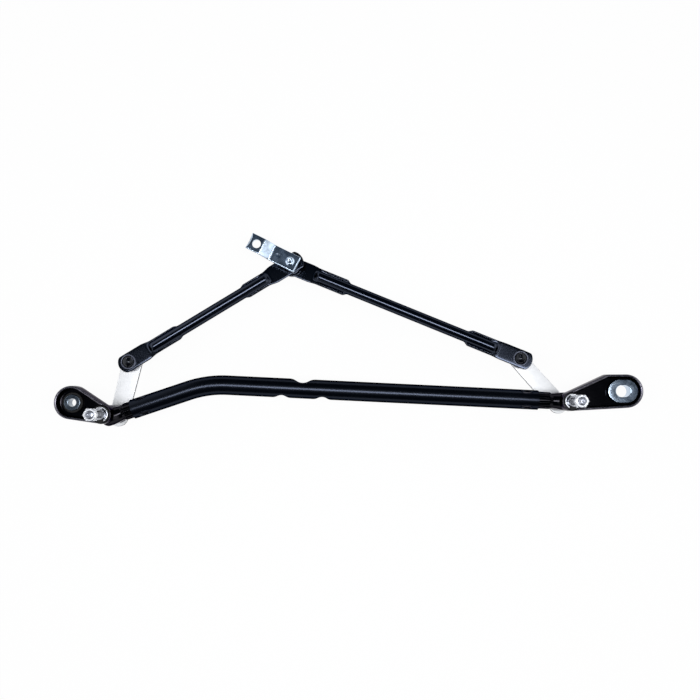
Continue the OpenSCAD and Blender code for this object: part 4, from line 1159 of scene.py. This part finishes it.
class LINKAGE_OT_housings(bpy.types.Operator):
    """Builds the two castings with their trays, bosses, necks and gussets"""

    bl_idname = "linkage.housings"
    bl_label = "Pivot housings"

    def execute(self, context):
        scene = context.scene
        sizes, tube, mounts = scene.linkage_housing, scene.linkage_tube, scene.linkage_mount
        corner = np.array(tube.corner)
        boss_low, boss_top = heights("left_pivot_housing")
        floor_middle = (sizes.floor_low + sizes.floor_top) / 2
        room, boss_edge = (sizes.bore + sizes.boss) / 2, 0.0007
        through_eye, through_boss = (-0.01, 0.015), (-0.03, 0.03)
        web_start, web_half = sizes.bore + 0.001, 0.0011
        for side in SIDES:
            node = side + "_pivot_housing"
            mount, pivot = middle(side + "_mount_sleeve"), PIVOT[side]
            gap, eye = getattr(tube, side + "_gap"), getattr(mounts, side + "_eye")
            if side == "left":
                discs = [[*mount, sizes.eye], [*pivot, sizes.around_boss]]
                way = np.array([math.cos(tube.slope), math.sin(tube.slope)])
                foot = corner + ((pivot - corner) @ way) * way
                spread = 0.0
            else:
                discs = [
                    [*pivot, sizes.around_boss],
                    [mount[0] + sizes.eye_spread, mount[1], sizes.eye],
                    [mount[0] - sizes.eye_spread, mount[1], sizes.eye],
                    [mount[0] - sizes.shoulder_back, mount[1] + sizes.shoulder_side, sizes.shoulder],
                ]
                way, foot, spread = corner - pivot, pivot, mounts.slot
            eye_bore = turned(drill(eye, *through_eye), mount, 96, spread)
            pivot_bore = turned(drill(room, *through_boss), pivot)
            boss_inside = [[sizes.bore, boss_low], [sizes.bore, boss_top]]
            boss_outside = [[sizes.boss, boss_top], [sizes.boss, boss_low]]
            boss = turned(ring_section(boss_inside + boss_outside, boss_edge), pivot)
            neck = tilted(neck_skin(sizes, tube, gap), np.array([*foot, TUBE_Z]), level_axes(way))
            gusset_end = np.linalg.norm(mount - pivot) - sizes.eye + 0.003
            gusset_low = sizes.floor_low - sizes.gusset, sizes.floor_low - 0.001
            web_top = sizes.rim_top - 0.004, sizes.floor_top + 0.0006
            inside = (floor_middle, floor_middle)
            webs = [
                web_skin(web_start, gusset_end, gusset_low, inside, sizes.gusset_thick),
                web_skin(web_start, sizes.web, inside, web_top, web_half),
            ]
            joined = [(boss, []), (neck, [pivot_bore])]
            joined += [(tilted(web, np.array([*pivot, 0.0]), level_axes(mount - pivot)), []) for web in webs]
            tray, bores = tray_skin(sizes, discs), [eye_bore, pivot_bore]
            casting = finish_of(context, "casting")
            piece(node + "_skin", [tray], "frame", casting, [node], bores, joined)
        return {"FINISHED"}


class LINKAGE_OT_mounts(bpy.types.Operator):
    """Builds the plated sleeves and their rubber grommets"""

    bl_idname = "linkage.mounts"
    bl_label = "Mounts"

    def execute(self, context):
        sizes = context.scene.linkage_mount
        columns, sleeve_edge, rubber_edge = 128, 0.0005, 0.0009
        for side in SIDES:
            low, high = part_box(side + "_mount_sleeve")
            centre = middle(side + "_mount_sleeve")
            spread = sizes.slot if side == "right" else 0.0
            hole = getattr(sizes, side + "_hole")
            wide, wall, under = high.y - centre[1], hole + sizes.wall, high.z - sizes.flange
            inside = [[hole, low.z], [hole, high.z]]
            outside = [[wide, high.z], [wide, under], [wall, under], [wall, low.z]]
            points, wrap = turned(ring_section(inside + outside, sleeve_edge), centre, columns, spread)
            if side == "right":
                flat = (high.x - low.x) / 2 - (high.y - low.y) / 2
                off = points[..., :2] - centre
                flanged = ease(np.hypot(off[..., 0], off[..., 1]), wall, wide)
                points[..., 0] += (flat - spread) * np.sign(off[..., 0]) * flanged
            # The left sleeve's finish is the blue zinc painted darker as shade.
            zinc, rubber = finish_of(context, side + " sleeve"), finish_of(context, "rubber")
            piece(side + "_sleeve_skin", [(points, wrap)], "frame", zinc, [side + "_mount_sleeve"])
            low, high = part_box(side + "_grommet")
            inner, outer = wall + sizes.fit, high.y - centre[1]
            groove, lip_low, lip_high = outer - sizes.groove, low.z + sizes.lip, high.z - sizes.lip
            upper = [[inner, low.z], [inner, high.z], [outer, high.z], [outer, lip_high], [groove, lip_high]]
            lower = [[groove, lip_low], [outer, lip_low], [outer, low.z]]
            grid = turned(ring_section(upper + lower, rubber_edge), centre, columns, spread)
            piece(side + "_grommet_skin", [grid], "frame", rubber, [side + "_grommet"])
        return {"FINISHED"}


class LINKAGE_OT_bearings(bpy.types.Operator):
    """Finishes the bushes and seals inside the castings"""

    bl_idname = "linkage.bearings"
    bl_label = "Bearings"

    def execute(self, context):
        for side in SIDES:
            dress(finish_of(context, "bronze"), side + "_upper_bush", side + "_lower_bush")
            dress(finish_of(context, "rubber"), side + "_shaft_seal")
        return {"FINISHED"}


class LINKAGE_OT_shafts(bpy.types.Operator):
    """Builds the knurled and threaded shafts, their nuts and clips, and finishes the washers"""

    bl_idname = "linkage.shafts"
    bl_label = "Pivot shafts"

    def execute(self, context):
        sizes, bore_fit = context.scene.linkage_shaft, 0.00005
        steel, zinc = finish_of(context, "steel"), finish_of(context, "bright zinc")
        for side in SIDES:
            body, pivot = side + "_rocker", PIVOT[side]
            skin = shaft_skin(sizes, pivot)
            piece(side + "_shaft_skin", [skin], body, steel, [side + "_pivot_shaft"])
            nut = nut_skin(sizes.flats, sizes.thread + bore_fit, *heights(side + "_arm_nut"), pivot)
            piece(side + "_nut_skin", [nut], body, zinc, [side + "_arm_nut"], sharp=24.0)
            clip = clip_skin(sizes, *heights(side + "_retaining_clip"), pivot)
            piece(side + "_clip_skin", [clip], body, zinc, [side + "_retaining_clip"])
            dress(finish_of(context, "rubber"), side + "_thrust_washer", side + "_lower_washer")
        return {"FINISHED"}


class LINKAGE_OT_levers(bpy.types.Operator):
    """Builds the plated levers and their ball studs"""

    bl_idname = "linkage.levers"
    bl_label = "Levers"

    def execute(self, context):
        sizes, sockets = context.scene.linkage_lever, context.scene.linkage_socket
        zinc, steel = finish_of(context, "lever zinc"), finish_of(context, "steel")
        for side in SIDES:
            low, high = heights(side + "_lever")
            body, ball, end_r = side + "_rocker", BALL[side], getattr(sizes, side + "_end")
            run = ball[:2] - PIVOT[side]
            tail = PIVOT[side] - sizes.tail * run / np.linalg.norm(run)
            skin = plate_skin(tail, ball[:2], sizes.tail_radius, end_r, low, high, sizes.edge)
            piece(side + "_lever_skin", [skin], body, zinc, [side + "_lever"])
            stud = turned(lever_stud_outline(sockets, low, high, ball[2]), ball)
            piece(side + "_stud_skin", [stud], body, steel, [side + "_lever_ball"])
        return {"FINISHED"}


class LINKAGE_OT_links(bpy.types.Operator):
    """Builds the pressed links"""

    bl_idname = "linkage.links"
    bl_label = "Links"

    def execute(self, context):
        sizes, sockets = context.scene.linkage_link, context.scene.linkage_socket
        paint = finish_of(context, "link paint")
        fit, through, columns = 0.00005, 0.006, 72
        crank_hole = {"left": sockets.wall, "right": sockets.cup}
        for side in SIDES:
            body, node = side + "_link", side + "_link_rod"
            origin, axes, span = link_axes(side, sockets)
            measures = [getattr(sizes, side + key) for key in ("_half", "_end", "_lever", "_crank")]
            skin = tilted(link_skin(sizes, span, *measures), origin, axes)
            bores = []
            for place, radius in ((0.0, sockets.wall), (span, crank_hole[side])):
                plug = turned(drill(radius + fit, -through, through), [place, 0.0], columns)
                bores.append(tilted(plug, origin, axes))
            piece(side + "_link_skin", [skin], body, paint, [node], bores)
        return {"FINISHED"}


class LINKAGE_OT_sockets(bpy.types.Operator):
    """Builds the plastic ball sockets"""

    bl_idname = "linkage.sockets"
    bl_label = "Ball sockets"

    def execute(self, context):
        sizes, pad = context.scene.linkage_socket, context.scene.linkage_link.pad
        plastic = finish_of(context, "plastic")
        crank_ends = {
            "left": ("left_link_crank_socket", ring_socket),
            "right": ("right_link_crank_cup", cup_outline),
        }
        for side in SIDES:
            origin, axes, span = link_axes(side, sizes)
            ends = [(0.0, side + "_link_lever_socket", domed_socket), (span, *crank_ends[side])]
            for place, node, outline in ends:
                skin = tilted(turned(outline(sizes, pad), [place, 0.0]), origin, axes)
                piece(node + "_skin", [skin], side + "_link", plastic, [node])
        return {"FINISHED"}


class LINKAGE_OT_crank(bpy.types.Operator):
    """Builds the stepped crank arm and its double ball stud"""

    bl_idname = "linkage.crank"
    bl_label = "Crank"

    def execute(self, context):
        sizes, sockets = context.scene.linkage_crank, context.scene.linkage_socket
        zinc, past = finish_of(context, "blue zinc"), 0.004
        low, _ = heights("crank_arm")
        top = low + 2 * sizes.thick + sizes.rise
        hole = next(m for m in frame["record"]["mounts"] if m["name"] == "motor_bore")["pos_m"]
        origin, axes = np.array([*STUD[:2], 0.0]), level_axes(np.array(hole[:2]) - STUD[:2])
        strip = tilted(crank_skin(sizes, low), origin, axes)
        plug = turned(drill(sizes.hole, low - past, top + past), [sizes.reach, 0.0], 72)
        bore = tilted(plug, origin, axes)
        piece("crank_skin", [strip], "crank", zinc, ["crank_arm"], [bore])
        stud = turned(stud_outline(sockets, sizes, low), STUD)
        piece("crank_stud_skin", [stud], "crank", zinc, ["crank_ball_stud"])
        return {"FINISHED"}


class LINKAGE_OT_stage(bpy.types.Operator):
    """Sets the floor, the lamp, the sky and the camera"""

    bl_idname = "linkage.stage"
    bl_label = "Stage"

    def execute(self, context):
        scene, sizes = context.scene, context.scene.linkage_stage
        low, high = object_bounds()
        centre, half = (low + high) / 2, sizes.floor_half
        corners = half * np.array([[[-1, -1, 0], [1, -1, 0]], [[-1, 1, 0], [1, 1, 0]]])
        sheet = corners + [centre.x, centre.y, low.z - sizes.floor_gap]
        floor = bpy.data.objects.new("floor", mesh_of("floor", [(sheet, False)], 30))
        scene.collection.objects.link(floor)
        floor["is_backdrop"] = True
        finish = Finish("floor_paper", Roughness=0.9)
        nodes, links = finish.tree.nodes, finish.tree.links
        paper = finish.noise(300.0).mix(shade(sizes.floor, 0.99), colour(sizes.floor))
        paper.feed(finish.shader, "Base Color")
        path = nodes.new("ShaderNodeLightPath").outputs
        kinds = ("Is Camera Ray", "Is Glossy Ray", "Is Transmission Ray")
        camera_ray, glossy_ray, clear_ray = (Wire(finish.tree, path[kind]) for kind in kinds)
        seen = camera_ray + glossy_ray + clear_ray
        seen = seen.math("MINIMUM", seen, 1.0) * sizes.floor_glow
        glow = nodes.new("ShaderNodeEmission")
        glow.inputs["Color"].default_value = (1.0, 1.0, 1.0, 1.0)
        both = nodes.new("ShaderNodeMixShader")
        seen.feed(both, 0)
        links.new(finish.shader.outputs[0], both.inputs[1])
        links.new(glow.outputs[0], both.inputs[2])
        links.new(both.outputs[0], nodes["Material Output"].inputs["Surface"])
        floor.data.materials.append(finish.material)
        world = bpy.data.worlds.new("studio")
        world.use_nodes = True
        scene.world = world
        dark_room, bright_sides = (0.016, 0.034, 0.058, 1.0), (1.5, 1.5, 1.5, 1.0)
        horizon = (0.95, 0.95, 0.95, 1.0)
        way = Wire(world.node_tree).node("ShaderNodeTexCoord", {}, {}, give="Generated")
        room = way.axis("X").size().clip(0.38, 0.65).mix(dark_room, bright_sides)
        tone = way.axis("Z").clip(0.13, 0.22).mix(horizon, room)
        tone.feed(world.node_tree.nodes["Background"], "Color")
        lamp = bpy.data.lights.new("softbox", "AREA")
        lamp.shape, lamp.size, lamp.size_y = "RECTANGLE", sizes.lamp_long, sizes.lamp_wide
        lamp.energy = sizes.lamp_power
        box = bpy.data.objects.new("softbox", lamp)
        box.location = sizes.lamp
        scene.collection.objects.link(box)
        camera = bpy.data.cameras.new("camera")
        camera.lens, camera.sensor_width = sizes.lens, 36.0
        eye = bpy.data.objects.new("camera", camera)
        eye.location = sizes.camera
        eye.rotation_euler = sizes.camera_turn
        scene.collection.objects.link(eye)
        scene.camera = eye
        scene.view_settings.view_transform = "Standard"
        return {"FINISHED"}


OPERATORS = (
    LINKAGE_OT_frame_tube,
    LINKAGE_OT_housings,
    LINKAGE_OT_mounts,
    LINKAGE_OT_bearings,
    LINKAGE_OT_shafts,
    LINKAGE_OT_levers,
    LINKAGE_OT_links,
    LINKAGE_OT_sockets,
    LINKAGE_OT_crank,
    LINKAGE_OT_stage,
)


class LINKAGE_PT_panel(bpy.types.Panel):
    """Lists the linkage's pieces and settings"""

    bl_label = "Wiper linkage"
    bl_space_type = "VIEW_3D"
    bl_region_type = "UI"
    bl_category = "Linkage"

    def draw(self, context):
        for operator in OPERATORS:
            self.layout.operator(operator.bl_idname)
        for name, group in SETTINGS.items():
            box = self.layout.box()
            box.label(text=name.capitalize())
            for key in group.__annotations__:
                box.prop(getattr(context.scene, "linkage_" + name), key)


CLASSES = (*SETTINGS.values(), *OPERATORS, LINKAGE_PT_panel)


def register():
    for cls in CLASSES:
        bpy.utils.register_class(cls)
    for name, group in SETTINGS.items():
        setattr(bpy.types.Scene, "linkage_" + name, bpy.props.PointerProperty(type=group))


def unregister():
    for name in SETTINGS:
        delattr(bpy.types.Scene, "linkage_" + name)
    for cls in reversed(CLASSES):
        bpy.utils.unregister_class(cls)


def main():
    """Builds every piece and the stage."""
    register()
    for operator in OPERATORS:
        group, name = operator.bl_idname.split(".")
        getattr(getattr(bpy.ops, group), name)()


if __name__ == "__main__":
    main()
